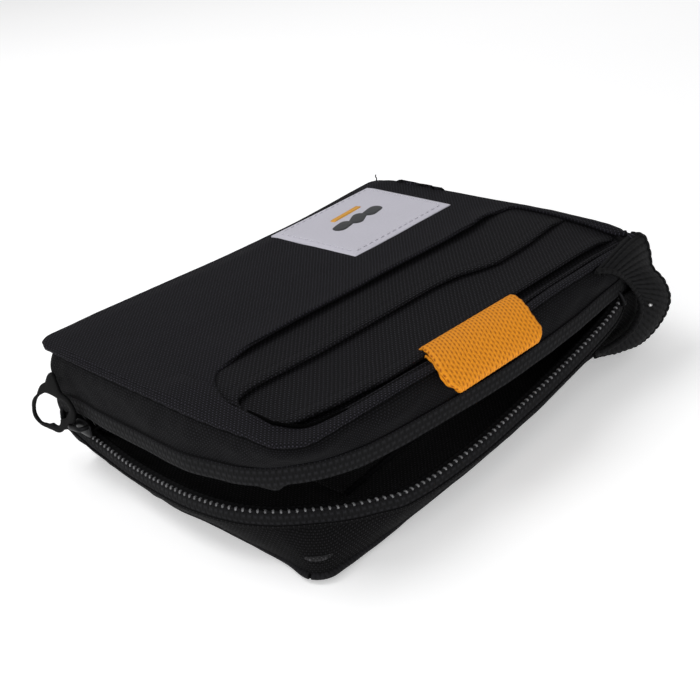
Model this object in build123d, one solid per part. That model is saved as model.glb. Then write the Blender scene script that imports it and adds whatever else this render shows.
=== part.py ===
from build123d import *
import os
from math import sin, cos, radians, hypot, pi

os.makedirs("parts", exist_ok=True)

# ---------------------------------------------------------------------------
# Zippered pouch: a flat fabric pouch with an L-shaped zip along its front and
# left sides, stepped card slots in its lid, an orange pull tab, a woven label
# and a webbing finger loop over the zip's end.
#
# Driving dimensions, in millimetres.  Drawn with the front-left bottom corner
# at (0, 0, 0) and moved at the end, so that the origin is the middle of the
# underside.  +X along the long front, +Y to the back, +Z up.
# ---------------------------------------------------------------------------
LENGTH = 112.0          # long side, along the front
DEPTH = 85.2            # short side
CORNER_R = 9.0          # plan radius of the four corners
WALL = 1.2              # padded gusset wall
BIND_W = 1.0            # width of the seam binding

# heights of the stack, bottom to top
BASE_TOP = 1.6          # bottom panel
BIND0, BIND1 = 0.2, 2.2         # bottom binding
STIFF_TOP = 2.6
LINING_TOP = 3.0
POCKET_TOP = 3.5        # slip pocket sheet on the lining
GUSSET_LOW_TOP = 7.6    # lower gusset
TAPE_LOW_TOP = 9.0      # lower zip tape
COIL_LOW_TOP = 10.4     # lower coil
COIL_UP_BOT = 15.6      # upper coil
TAPE_UP_BOT = 17.0
GUSSET_UP_BOT = 18.0    # upper gusset, down to the lip
WALL_TOP = 25.0
LID_LINING0 = 24.6
LID_BOARD0 = 25.0
LAYER3_0, LAYER3_1 = 26.0, 26.6
POCKET_GAP_TOP = 28.2   # room for cards and the strap, inside the side seams
LAYER2_1 = 28.6
LAYER1_1 = 29.0
LID_TOP = 29.8          # padded top panel

# card slots in the lid: each layer's front edge
WINDOW_X0, WINDOW_X1 = 7.0, 105.0
EDGE_PANEL = 36.0
EDGE_LAYER1 = 23.0
EDGE_LAYER2 = 8.0
WINDOW_R = 5.0

# zip
PITCH = 1.5             # no. 5 coil
TOOTH = 1.0
COIL_T = 1.5            # coil thickness, through the wall
FLAP_END_X = 98.5       # end of the lifting lip on the front
FLAP_END_Y = 66.0       # end of the lifting lip on the left
ZIP_END_X = 103.0       # closed end of the zip on the front
ZIP_END_Y = 75.0        # closed end of the zip on the left
WALL_START_X = 102.0

# fold line of the lid, through the two ends of the zip
FOLD_A = (ZIP_END_X, 0.0)
FOLD_B = (0.0, ZIP_END_Y)
FOLD_GAP_FLAP = 0.9
FOLD_GAP_REAR = 0.1

# orange webbing tab and its strap
TAB_X0, TAB_X1 = 42.0, 68.0
TAB_Z0, TAB_Z1 = 26.9, 27.9

# slider and pull loop, on the left side
SL_Y0, SL_Y1 = 66.8, 78.0
SL_Z0, SL_Z1 = 8.6, 17.8
SL_ZC = 13.2
POST_Z = 11.25          # post between the plates, just above the lower coil
PLATE_T = 1.0
CLEAR = 0.3

# finger loop over the front-right corner
LOOP_R = 17.0           # outer radius at its fullest
LOOP_T = 1.3
LOOP_A0, LOOP_A1 = -98.0, -22.0

# woven label on the lid
LB_X0, LB_Y0, LB_X1, LB_Y1 = 67.6, 49.6, 104.2, 81.4
LABEL_T = 0.5


# ---------------------------------------------------------------------------
def plate(x0, y0, x1, y1, r, z0, z1):
    s = Pos((x0 + x1) / 2, (y0 + y1) / 2, z0) * RectangleRounded(x1 - x0, y1 - y0, r)
    return extrude(s, z1 - z0)


def foot(inset, z0, z1):
    return plate(inset, inset, LENGTH - inset, DEPTH - inset, CORNER_R - inset, z0, z1)


def block(x0, y0, x1, y1, z0, z1):
    return Pos((x0 + x1) / 2, (y0 + y1) / 2, (z0 + z1) / 2) * Box(x1 - x0, y1 - y0, z1 - z0)


def ring(i0, i1, z0, z1):
    """Wall between two insets of the footprint."""
    return foot(i0, z0, z1) - foot(i1, z0 - 1, z1 + 1)


def l_band(i0, i1, z0, z1, x_end, y_end):
    """The part of a wall that follows the zip: front side and left side."""
    keep = block(-2, -2, x_end, 16, z0 - 1, z1 + 1) + block(-2, -2, 16, y_end, z0 - 1, z1 + 1)
    return ring(i0, i1, z0, z1) & keep


FL = hypot(FOLD_B[0] - FOLD_A[0], FOLD_B[1] - FOLD_A[1])
TX, TY = (FOLD_B[0] - FOLD_A[0]) / FL, (FOLD_B[1] - FOLD_A[1]) / FL
NX, NY = TY, -TX        # unit normal of the fold line, pointing to the back right


def half(rear):
    """A prism covering the lid on one side of the fold line."""
    s = 1 if rear else -1
    g = FOLD_GAP_REAR if rear else -FOLD_GAP_FLAP
    px, py = FOLD_A[0] + NX * g, FOLD_A[1] + NY * g
    a = (px - TX * 300, py - TY * 300)
    b = (px + TX * 300, py + TY * 300)
    c = (b[0] + s * NX * 300, b[1] + s * NY * 300)
    d = (a[0] + s * NX * 300, a[1] + s * NY * 300)
    return extrude(Pos(0, 0, 10) * make_face(Polyline(a, b, c, d, close=True).edges()), 40)


REAR, FLAP = half(True), half(False)
nodes = {}


def split(name, solid):
    nodes[name + "_rear"] = solid & REAR
    nodes[name + "_flap"] = solid & FLAP


# ---- bottom of the pouch ---------------------------------------------------
nodes["bottom_panel"] = foot(BIND_W, 0, BASE_TOP)
nodes["bottom_binding"] = ring(0, BIND_W, BIND0, BIND1)
nodes["bottom_stiffener"] = foot(2.4, BASE_TOP, STIFF_TOP)
nodes["bottom_lining"] = foot(2.4, STIFF_TOP, LINING_TOP)
nodes["slip_pocket"] = plate(26, 6, 106, 79, 4, LINING_TOP, POCKET_TOP)

# ---- lower half of the zip, front and left ---------------------------------
nodes["lower_gusset"] = l_band(0, WALL, BIND1, GUSSET_LOW_TOP, WALL_START_X, ZIP_END_Y)
nodes["lower_zip_tape"] = l_band(0.4, 1.1, GUSSET_LOW_TOP, TAPE_LOW_TOP, WALL_START_X, ZIP_END_Y)


def teeth(z0, z1, x_end, y_end):
    """One tooth every PITCH along the left side, round the corner and along the front."""
    out = []
    r = CORNER_R - COIL_T / 2
    c = CORNER_R
    path_left = y_end - c
    arc = r * pi / 2
    total = path_left + arc + (x_end - c)
    n = int(total / PITCH)
    for i in range(n):
        s = (i + 0.5) * PITCH
        if s < path_left:
            x, y, a = COIL_T / 2, y_end - s, 90
        elif s < path_left + arc:
            t = (s - path_left) / r
            x, y = c - r * cos(t), c - r * sin(t)
            a = 90 + t * 180 / pi
        else:
            x, y, a = c + s - path_left - arc, COIL_T / 2, 0
        out.append(Pos(x, y, (z0 + z1) / 2) * Rot(0, 0, a) * Box(TOOTH, COIL_T, z1 - z0))
    return Compound(out)


nodes["lower_zip_coil"] = teeth(TAPE_LOW_TOP, COIL_LOW_TOP, WALL_START_X - 1, ZIP_END_Y - 3.5)

# ---- closed sides ----------------------------------------------------------
wall = ring(0, WALL, BIND1, WALL_TOP)
nodes["right_wall"] = wall & (
    block(WALL_START_X, -2, 116, 16, 0, 40) + block(96, 15, 116, DEPTH - CORNER_R, 0, 40)
)
nodes["back_wall"] = wall & (
    block(-2, DEPTH - CORNER_R, 116, DEPTH + 2, 0, 40) + block(-2, ZIP_END_Y, 16, DEPTH + 2, 0, 40)
)
nodes["zip_stop_front"] = block(WALL_START_X + 0.4, -0.6, WALL_START_X + 2.6, 0, 11.6, 15.4)
nodes["zip_stop_rear"] = block(WALL, 75.0, WALL + 0.3, 76.2, 11.0, 15.4)

# ---- lid, in two halves either side of the fold ----------------------------
split("lid_lining", foot(1.6, LID_LINING0, LID_BOARD0) - ring(0, 1.6, 20, 30))
split("lid_board", foot(BIND_W, LID_BOARD0, LAYER3_0))
split("lid_binding", ring(0, BIND_W, LID_BOARD0, LAYER3_1))
split("card_layer_3", foot(BIND_W, LAYER3_0, LAYER3_1))
split(
    "pocket_side_seam",
    foot(BIND_W, LAYER3_1, POCKET_GAP_TOP)
    - plate(WINDOW_X0, -20, WINDOW_X1, 78, WINDOW_R, LAYER3_1 - 1, POCKET_GAP_TOP + 1),
)


def layer(edge, z0, z1):
    return foot(BIND_W, z0, z1) - plate(WINDOW_X0, -20, WINDOW_X1, edge, WINDOW_R, z0 - 1, z1 + 1)


split("card_layer_2", layer(EDGE_LAYER2, POCKET_GAP_TOP, LAYER2_1))
split("card_layer_1", layer(EDGE_LAYER1, LAYER2_1, LAYER1_1))
split("top_panel", layer(EDGE_PANEL, LAYER1_1, LID_TOP))

# ---- upper lip of the zip --------------------------------------------------
nodes["upper_gusset"] = l_band(0, WALL, GUSSET_UP_BOT, LID_BOARD0, FLAP_END_X, FLAP_END_Y)
nodes["upper_zip_tape"] = l_band(0.4, 1.1, TAPE_UP_BOT, GUSSET_UP_BOT, FLAP_END_X, FLAP_END_Y)
nodes["upper_zip_coil"] = teeth(COIL_UP_BOT, TAPE_UP_BOT, FLAP_END_X - 1, FLAP_END_Y - 0.5)

# ---- woven label -----------------------------------------------------------
nodes["woven_label"] = block(LB_X0, LB_Y0, LB_X1, LB_Y1, LID_TOP, LID_TOP + LABEL_T)
cx, cy = (LB_X0 + LB_X1) / 2, (LB_Y0 + LB_Y1) / 2
nodes["label_mark"] = Pos(cx, cy, LID_TOP + LABEL_T + 0.06) * Cylinder(6.5, 0.12)
st = []
for i in range(14):
    x = LB_X0 + 1.6 + i * (LB_X1 - LB_X0 - 3.2) / 13
    for y in (LB_Y0 + 0.9, LB_Y1 - 0.9):
        st.append(Pos(x, y, LID_TOP + LABEL_T + 0.1) * Box(1.5, 0.35, 0.2))
for i in range(12):
    y = LB_Y0 + 2.6 + i * (LB_Y1 - LB_Y0 - 5.2) / 11
    for x in (LB_X0 + 0.9, LB_X1 - 0.9):
        st.append(Pos(x, y, LID_TOP + LABEL_T + 0.1) * Box(0.35, 1.5, 0.2))
nodes["label_stitches"] = Compound(st)

# ---- finger loop: webbing bowed round the corner over the zip's end --------
lc = (LENGTH - CORNER_R, CORNER_R)
z_mid = 12.5
prof = make_face(
    [
        ThreePointArc((CORNER_R, 0, 1.4), (LOOP_R, 0, z_mid), (CORNER_R, 0, 24.9)),
        Line((CORNER_R, 0, 24.9), (CORNER_R, 0, 23.3)),
        ThreePointArc((CORNER_R, 0, 23.3), (LOOP_R - LOOP_T, 0, z_mid), (CORNER_R, 0, 3.0)),
        Line((CORNER_R, 0, 3.0), (CORNER_R, 0, 1.4)),
    ]
)
loop = revolve(prof, Axis.Z, LOOP_A1 - LOOP_A0)
loop = Pos(lc[0], lc[1], 0) * Rot(0, 0, LOOP_A0) * loop
# trim the ends to the wall's outer face
loop = loop - extrude(Pos(LENGTH / 2, DEPTH / 2, -1) * RectangleRounded(LENGTH, DEPTH, CORNER_R), 40)
nodes["finger_loop"] = loop

# ---- orange pull tab and strap ---------------------------------------------
tab_pts = [
    (8.0, TAB_Z0), (8.0, TAB_Z1), (-1.6, TAB_Z1), (-3.4, 27.2), (-4.4, 25.6), (-4.7, 21.0),
    (-4.2, 20.1), (-3.0, 19.8), (-1.9, 20.3), (-1.6, 21.4), (-1.3, 25.0), (-0.8, TAB_Z0),
]
tab_face = make_face(Polyline(*[(TAB_X0, y, z) for y, z in tab_pts], close=True).edges())
nodes["pull_tab"] = extrude(tab_face, TAB_X1 - TAB_X0, dir=(1, 0, 0))
strap_pts = [(TAB_X0 + 1, 8.0), (TAB_X1 - 1, 8.0), (TAB_X1 - 1, 13.0), (TAB_X0 + 14, 22.0), (TAB_X0 + 1, 22.0)]
strap_face = make_face(Polyline(*[(x, y, TAB_Z0 + 0.1) for x, y in strap_pts], close=True).edges())
nodes["pull_strap"] = extrude(strap_face, TAB_Z1 - TAB_Z0 - 0.2, dir=(0, 0, 1))

# ---- slider ----------------------------------------------------------------
x_out1, x_out0 = -CLEAR, -CLEAR - PLATE_T
x_in0, x_in1 = COIL_T + 1.2, COIL_T + 1.2 + PLATE_T


def side_plate(x0, x1):
    pts = [
        (SL_Y0, SL_ZC - 3.4), (SL_Y0 + 1.6, SL_Z0), (SL_Y0 + 5.0, SL_Z0), (SL_Y1 - 0.8, SL_ZC - 3.0),
        (SL_Y1, SL_ZC - 2.2), (SL_Y1, SL_ZC + 2.2), (SL_Y1 - 0.8, SL_ZC + 3.0), (SL_Y0 + 5.0, SL_Z1),
        (SL_Y0 + 1.6, SL_Z1), (SL_Y0, SL_ZC + 3.4),
    ]
    f = make_face(Polyline(*[(x0, y, z) for y, z in pts], close=True).edges())
    return extrude(f, x1 - x0, dir=(1, 0, 0))


post = extrude(
    make_face(
        Polyline(
            (x_out1, SL_Y0 + 0.6, POST_Z), (x_out1, SL_Y0 + 2.4, POST_Z - 0.5),
            (x_out1, SL_Y0 + 4.4, POST_Z), (x_out1, SL_Y0 + 2.4, POST_Z + 0.5), close=True,
        ).edges()
    ),
    x_in0 - x_out1,
    dir=(1, 0, 0),
)
nodes["slider_body"] = side_plate(x_out0, x_out1) + side_plate(x_in0, x_in1) + post
br0, br1 = SL_Y0 + 1.4, SL_Y0 + 8.8
bridge = block(-4.4, br0, x_out0, br1, SL_ZC - 1.5, SL_ZC + 1.5) - block(
    -3.4, br0 + 1.0, 5, br1 - 1.0, SL_ZC - 3, SL_ZC + 3
)
nodes["slider_bridge"] = bridge

# ---- pull loop: a flat strap ring through the bridge, lying back -----------
PX = -2.35              # plane of the ring, between the plate and the bridge
axis_y = SL_Y0 + 4.9    # swing axis, through the strap that passes under the bridge
outer = [
    (axis_y - 0.7, 9.6), (77.0, 8.0), (82.0, 6.0), (87.6, 5.7), (90.6, 7.6), (90.6, 11.0),
    (86.0, 15.6), (80.5, 19.8), (76.5, 22.6), (axis_y - 0.7, 22.0),
]
inner = [
    (axis_y + 0.7, 10.9), (78.0, 9.6), (82.5, 7.7), (87.0, 7.5), (88.8, 8.8), (88.6, 10.6),
    (84.4, 14.8), (80.0, 16.6), (axis_y + 0.7, 17.9),
]


def yz_prism(pts, x0, x1):
    f = make_face(Polyline(*[(x0, y, z) for y, z in pts], close=True).edges())
    return extrude(f, x1 - x0, dir=(1, 0, 0))


nodes["pull_loop"] = yz_prism(outer, PX - 0.45, PX + 0.45) - yz_prism(inner, PX - 2, PX + 2)

# ---- write -----------------------------------------------------------------
SHIFT = Pos(-LENGTH / 2, -DEPTH / 2, 0)
for name, shape in nodes.items():
    moved = SHIFT * shape
    export_step(moved, f"parts/{name}.step")

ax = (FOLD_A[0] - LENGTH / 2, FOLD_A[1] - DEPTH / 2, LID_TOP)
print("fold axis point", ax, "direction", (TX, TY, 0), "normal", (NX, NY))
print("swing axis", (PX - LENGTH / 2, axis_y - DEPTH / 2, SL_ZC))
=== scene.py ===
import math
import bpy
import bmesh
import numpy as np
from mathutils import Matrix, Vector, noise


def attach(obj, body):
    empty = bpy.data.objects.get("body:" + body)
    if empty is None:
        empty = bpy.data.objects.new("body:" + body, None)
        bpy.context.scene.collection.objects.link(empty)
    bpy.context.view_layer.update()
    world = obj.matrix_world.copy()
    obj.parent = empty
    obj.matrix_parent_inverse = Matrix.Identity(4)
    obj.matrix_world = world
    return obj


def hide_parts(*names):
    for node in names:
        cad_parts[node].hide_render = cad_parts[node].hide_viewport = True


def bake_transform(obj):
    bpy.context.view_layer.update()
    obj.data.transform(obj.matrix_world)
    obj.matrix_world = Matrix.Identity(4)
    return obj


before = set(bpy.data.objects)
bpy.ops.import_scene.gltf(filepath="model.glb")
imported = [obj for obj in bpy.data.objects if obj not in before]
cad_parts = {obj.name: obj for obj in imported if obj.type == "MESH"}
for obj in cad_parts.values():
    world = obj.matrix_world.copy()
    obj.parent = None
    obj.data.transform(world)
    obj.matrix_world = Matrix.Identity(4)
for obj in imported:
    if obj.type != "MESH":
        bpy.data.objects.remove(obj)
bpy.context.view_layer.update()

# ---------------------------------------------------------------------------
# The pouch is laid out in millimetres: x along the front edge 0..112, y from
# the front edge to the back 0..85.2, z up.  row() turns that into the frame.
# ---------------------------------------------------------------------------
LEN, DEP = 112.0, 85.2
MM = 0.001


def row(p):
    q = np.array(p, float)
    q[..., 0] -= LEN / 2
    q[..., 1] -= DEP / 2
    return q * MM


def smooth(t):
    t = np.clip(t, 0.0, 1.0)
    return t * t * (3 - 2 * t)


def fbm(x, y, z, scale, octaves=3, seed=0.0):
    """Seedless smooth noise of arrays, about -1..1."""
    x, y, z = np.broadcast_arrays(np.asarray(x, float), np.asarray(y, float), np.asarray(z, float))
    out = np.zeros(x.shape)
    flat = out.reshape(-1)
    for k, (a, b, c) in enumerate(zip(x.reshape(-1), y.reshape(-1), z.reshape(-1))):
        v, amp, f = 0.0, 1.0, 1.0 / scale
        for _ in range(octaves):
            v += amp * noise.noise(Vector((a * f + seed, b * f - seed, c * f + 2 * seed)))
            amp *= 0.5
            f *= 2.0
        flat[k] = v
    return out


def pchip(xs, ys):
    """Shape-keeping cubic through points."""
    xs, ys = np.array(xs, float), np.array(ys, float)
    h = np.diff(xs)
    d = np.diff(ys) / h
    m = np.zeros(len(xs))
    for k in range(1, len(xs) - 1):
        if d[k - 1] * d[k] > 0:
            w1, w2 = 2 * h[k] + h[k - 1], h[k] + 2 * h[k - 1]
            m[k] = (w1 + w2) / (w1 / d[k - 1] + w2 / d[k])
    m[0], m[-1] = d[0], d[-1]

    def f(x):
        x = np.asarray(x, float)
        k = np.clip(np.searchsorted(xs, x) - 1, 0, len(xs) - 2)
        t = np.clip((x - xs[k]) / h[k], 0, 1)
        return ((1 + 2 * t) * (1 - t) ** 2 * ys[k] + t * (1 - t) ** 2 * h[k] * m[k]
                + t * t * (3 - 2 * t) * ys[k + 1] + t * t * (t - 1) * h[k] * m[k + 1])
    return f


def catmull(points, n):
    """n points evenly spread along a smooth curve through the given ones."""
    p = np.array(points, float)
    p = np.vstack([2 * p[0] - p[1], p, 2 * p[-1] - p[-2]])
    out = []
    for k in range(1, len(p) - 2):
        for t in np.linspace(0, 1, 24, endpoint=False):
            a, b, c, d = p[k - 1], p[k], p[k + 1], p[k + 2]
            out.append(0.5 * ((2 * b) + (c - a) * t + (2 * a - 5 * b + 4 * c - d) * t ** 2
                              + (3 * b - a - 3 * c + d) * t ** 3))
    out.append(p[-2])
    out = np.array(out)
    s = np.concatenate([[0], np.cumsum(np.linalg.norm(np.diff(out, axis=0), axis=1))])
    q = np.linspace(0, s[-1], n)
    return np.stack([np.interp(q, s, out[:, k]) for k in range(out.shape[1])], 1)


# ---------------------------------------------------------------------------
# Outline of the pouch at a level: s runs along the front (s = x), up the right
# side (112 + y), back along the rear, and forward along the left (s = -y).
# ---------------------------------------------------------------------------
SIDES = [LEN, DEP, LEN, DEP]
PER = sum(SIDES)
STARTS = [0.0, LEN, LEN + DEP, 2 * LEN + DEP]


def rr(s, rect=(0.0, 0.0, LEN, DEP), radii=(8.0, 8.0, 5.0, 5.0)):
    """Rounded rectangle: place and outward normal for s, with the corner radii FL, FR, BR, BL."""
    s = np.mod(np.asarray(s, float), PER)
    x0, y0, x1, y1 = rect
    lens = [x1 - x0, y1 - y0, x1 - x0, y1 - y0]
    p = np.zeros(s.shape + (2,))
    nrm = np.zeros(s.shape + (2,))
    for idx in np.ndindex(s.shape):
        v = s[idx]
        k = 3 if v >= STARTS[3] else 2 if v >= STARTS[2] else 1 if v >= STARTS[1] else 0
        d = (v - STARTS[k]) / SIDES[k] * lens[k]
        a0, a1 = radii[k], radii[(k + 1) % 4]
        base = -90.0 + 90.0 * k
        if d < a0:
            ang, r, c = base - 45 + 45 * d / a0, a0, k
        elif d > lens[k] - a1:
            ang, r, c = base + 45 * (d - lens[k] + a1) / a1, a1, (k + 1) % 4
        else:
            ang, r, c = base, None, k
        a = math.radians(ang)
        n = (math.cos(a), math.sin(a))
        if r is None:
            p[idx] = [(x0 + d, y0), (x1, y0 + d), (x1 - d, y1), (x0, y1 - d)][k]
        else:
            cx = x0 + r if c in (0, 3) else x1 - r
            cy = y0 + r if c in (0, 1) else y1 - r
            p[idx] = (cx + r * n[0], cy + r * n[1])
        nrm[idx] = n
    return p, nrm


class Level:
    """A line round the pouch: outward offset and height along s, with its corner radii."""

    def __init__(self, radii, off, z):
        self.radii = radii

        def wrap(c):
            c = sorted(c)
            c = [(c[-1][0] - PER, c[-1][1])] + c + [(c[0][0] + PER, c[0][1])]
            return pchip([a for a, _ in c], [b for _, b in c])
        self.f_off, self.f_z = wrap(off), wrap(z)
        self.lo = min(a for a, _ in off)

    def _s(self, s):
        return np.mod(np.asarray(s, float) + 200.0, PER) - 200.0

    def off(self, s):
        return self.f_off(self._s(s))

    def z(self, s):
        return self.f_z(self._s(s))

    def pt(self, s, push=0.0, lift=0.0):
        s = np.asarray(s, float)
        p, n = rr(s, radii=self.radii)
        o = self.off(s) + push
        return np.stack([p[..., 0] + n[..., 0] * o, p[..., 1] + n[..., 1] * o, self.z(s) + lift], -1)

    def normal(self, s):
        return rr(np.asarray(s, float), radii=self.radii)[1]


# s runs from -197.2 (back right, going forward along the left side) to +197.2
TOP = Level((8, 9, 2.6, 6),
            off=[(-197, 1.0), (-187, 0.2), (-178, -0.9), (-160, -2.6), (-140, -3.0), (-120, -2.4), (-104, -2.1), (-92, -2.8),
                 (-84, -2.6), (-75, -1.3), (-60, -0.8), (-45, -0.7), (-28, -0.6), (-20, -1.0), (-14, -1.6), (-6, -2.1),
                 (0, -2.4), (5, -2.3), (12, -2.0), (24, -1.9), (38, -1.9), (55, -1.6), (70, -1.4), (88, -1.2),
                 (100, -1.2), (112, -0.9), (125, -0.2), (150, 0.0), (185, 0.4)],
            z=[(-197, 28.2), (-170, 28.1), (-140, 28.1), (-110, 28.2), (-90, 28.5), (-84, 28.4), (-70, 28.2),
               (-40, 28.3), (-15, 28.1), (-4, 27.7), (6, 27.3), (20, 27.1), (32, 26.8), (42, 26.4), (54, 26.3), (67, 26.5),
               (80, 27.0), (95, 27.0), (104, 26.8), (112, 26.7), (118, 27.2), (125, 27.9), (133, 28.3),
               (140, 28.6), (150, 28.1), (158, 27.6), (172, 27.2), (190, 27.5)])
LIP = Level((18, 14, 5, 6),
            off=[(-92, 0.0), (-78, 0.0), (-68, 0.2), (-56.6, 1.0), (-42.5, 1.4), (-29, 2.0), (-17, 0.3), (-7, -0.5),
                 (0, -0.9), (11, -0.8), (23, 0.1), (38, 0.8), (58, 1.6), (78, 1.2), (94, 0.2), (100, -0.3),
                 (104, -0.5), (112, -1.0), (150, 0.0)],
            z=[(-92, 13.4), (-80, 13.4), (-74, 14.6), (-68.4, 16.0), (-56.6, 16.3), (-42.5, 16.6), (-29.2, 17.2),
               (-15.8, 17.9), (-6, 18.3), (0, 18.4), (11.4, 18.2), (23, 17.5), (38.6, 16.8), (58, 16.5), (78.6, 16.7),
               (94, 17.4), (100, 17.5), (104, 17.2), (112, 16.4), (150, 15.0)])
COIL = Level((24, 14, 5, 6),
             off=[(-92, 0.0), (-78, 0.0), (-65.7, 0.2), (-50.4, 1.3), (-33, 2.0), (-19, 0.9), (-8, 0.0), (0, -0.3),
                  (8, 0.2), (15.6, 0.9), (24, 2.7), (32, 3.1), (43.6, 3.5), (63, 2.4), (81, 1.7), (94.7, 1.2),
                  (100, 0.3), (104, -0.5), (112, -1.0), (150, 0.0)],
             z=[(-92, 13.0), (-78, 12.8), (-72, 11.6), (-65.7, 10.0), (-50.4, 9.1), (-32.8, 9.9), (-18.8, 10.7),
                (0, 10.5), (15.6, 9.6), (24, 8.8), (32, 8.2), (43.6, 8.7), (63.3, 9.8), (81, 11.9), (94.7, 14.6),
                (100, 16.0), (104, 16.6), (112, 16.0), (150, 14.6)])
FOOT = Level((6.5, 7, 6, 6),
             off=[(-197, -1.5), (-150, -1.5), (-110, -2.5), (-90, -6.4), (-78, -5.6), (-67, -4.5), (-55, -3.4),
                  (-41, -2.4), (-33, -3.0), (-23, -3.3), (-12, -3.4), (-5, -2.7), (0, -1.5), (6, -0.4), (15, -0.3),
                  (26, -0.8), (49, -1.8), (70, -3.6), (86, -5.9), (97, -7.2), (104, -7.2), (112, -5.0), (122, -2.2),
                  (150, -1.2), (190, -1.4)],
             z=[(-197, 0.8), (0, 0.8), (190, 0.8)])

N_FOLD = np.array([0.58864, 0.80840])
A_FOLD = np.array([103.0, 0.0])


# ---------------------------------------------------------------------------
# Materials
# ---------------------------------------------------------------------------
class Nodes:
    def __init__(self, name):
        self.mat = bpy.data.materials.new(name)
        self.mat.use_nodes = True
        self.nt = self.mat.node_tree
        self.nt.nodes.clear()
        self.out = self.nt.nodes.new("ShaderNodeOutputMaterial")
        self.b = self.nt.nodes.new("ShaderNodeBsdfPrincipled")
        self.nt.links.new(self.b.outputs[0], self.out.inputs[0])

    def put(self, sock, v):
        if isinstance(v, bpy.types.NodeSocket):
            self.nt.links.new(v, sock)
        else:
            sock.default_value = v

    def m(self, op, a, b=0.0, c=0.0, clamp=False):
        n = self.nt.nodes.new("ShaderNodeMath")
        n.operation = op
        n.use_clamp = clamp
        for k, v in enumerate((a, b, c)):
            self.put(n.inputs[k], v)
        return n.outputs[0]

    def uv(self, wobble=0.0, scale=0.35):
        a = self.nt.nodes.new("ShaderNodeAttribute")
        a.attribute_type = "GEOMETRY"
        a.attribute_name = "wuv"
        sep = self.nt.nodes.new("ShaderNodeSeparateXYZ")
        self.nt.links.new(a.outputs["Vector"], sep.inputs[0])
        u, v = sep.outputs[0], sep.outputs[1]
        self.vec = a.outputs["Vector"]
        if wobble:
            w = self.noise(self.vec, scale, 2.0)
            w = self.m("MULTIPLY", self.m("SUBTRACT", w, 0.5), wobble)
            u, v = self.m("ADD", u, w), self.m("SUBTRACT", v, w)
        return u, v

    def noise(self, vec, scale, detail=3.0, rough=0.6):
        n = self.nt.nodes.new("ShaderNodeTexNoise")
        n.noise_dimensions = "3D"
        self.nt.links.new(vec, n.inputs["Vector"])
        n.inputs["Scale"].default_value = scale
        n.inputs["Detail"].default_value = detail
        n.inputs["Roughness"].default_value = rough
        return n.outputs["Fac"]

    def combine(self, x, y, z=0.0):
        n = self.nt.nodes.new("ShaderNodeCombineXYZ")
        for k, v in enumerate((x, y, z)):
            self.put(n.inputs[k], v)
        return n.outputs[0]

    def ramp(self, fac, stops):
        n = self.nt.nodes.new("ShaderNodeValToRGB")
        self.nt.links.new(fac, n.inputs[0])
        e = n.color_ramp.elements
        while len(e) < len(stops):
            e.new(0.5)
        for k, (p, c) in enumerate(stops):
            e[k].position = p
            e[k].color = (*c, 1.0) if len(c) == 3 else c
        return n.outputs[0]

    def bump(self, height, strength=0.5, distance=0.0002):
        n = self.nt.nodes.new("ShaderNodeBump")
        self.nt.links.new(height, n.inputs["Height"])
        n.inputs["Strength"].default_value = strength
        n.inputs["Distance"].default_value = distance
        self.nt.links.new(n.outputs[0], self.b.inputs["Normal"])

    def set(self, **kw):
        for k, v in kw.items():
            self.put(self.b.inputs[k.replace("_", " ")], v)


def tint(c, k):
    return tuple(min(1.0, v * k) for v in c)


def woven(name, base, pitch=0.65, contrast=1.0, bump=0.7, rough=0.9, sheen=0.0, blotch=0.15, spec=0.16):
    """Plain woven nylon: a grid of small crowned threads; the colour follows their height, a painted highlight on each
    crown and painted shade between threads, and alternate threads are painted lit differently.
    """
    n = Nodes(name)
    u, v = n.uv(wobble=0.22, scale=0.25)
    su = n.m("SINE", n.m("MULTIPLY", u, math.pi / pitch))
    sv = n.m("SINE", n.m("MULTIPLY", v, math.pi / pitch))
    crown = n.m("POWER", n.m("MULTIPLY", n.m("ABSOLUTE", su), n.m("ABSOLUTE", sv)), 0.6)
    parity = n.m("MULTIPLY_ADD", n.m("MULTIPLY", su, sv), 0.5, 0.5)
    fleck = n.noise(n.vec, 1.1 / pitch, 3.0, 0.7)
    cloud = n.noise(n.vec, 0.07, 3.0, 0.6)
    h = n.m("MULTIPLY", crown, n.m("MULTIPLY_ADD", parity, 0.6, 0.5))
    # painted highlight on the thread crowns and painted shade in the gaps, taken from the thread height h
    tone = n.m("ADD", n.m("MULTIPLY", h, 0.75 * contrast), n.m("MULTIPLY", fleck, 0.75))
    tone = n.m("ADD", tone, n.m("MULTIPLY_ADD", cloud, blotch, -0.42 - blotch * 0.5 - 0.34 * (contrast - 1.0)), clamp=True)
    col = n.ramp(tone, [(0.0, tint(base, 0.18)), (0.4, base), (1.0, tint(base, 3.4))])
    n.set(Base_Color=col, Roughness=rough, Specular_IOR_Level=spec, Sheen_Weight=sheen, Sheen_Roughness=0.5)
    n.bump(n.m("ADD", h, n.m("MULTIPLY", fleck, 0.5)), bump, 0.00025)
    return n.mat


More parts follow.
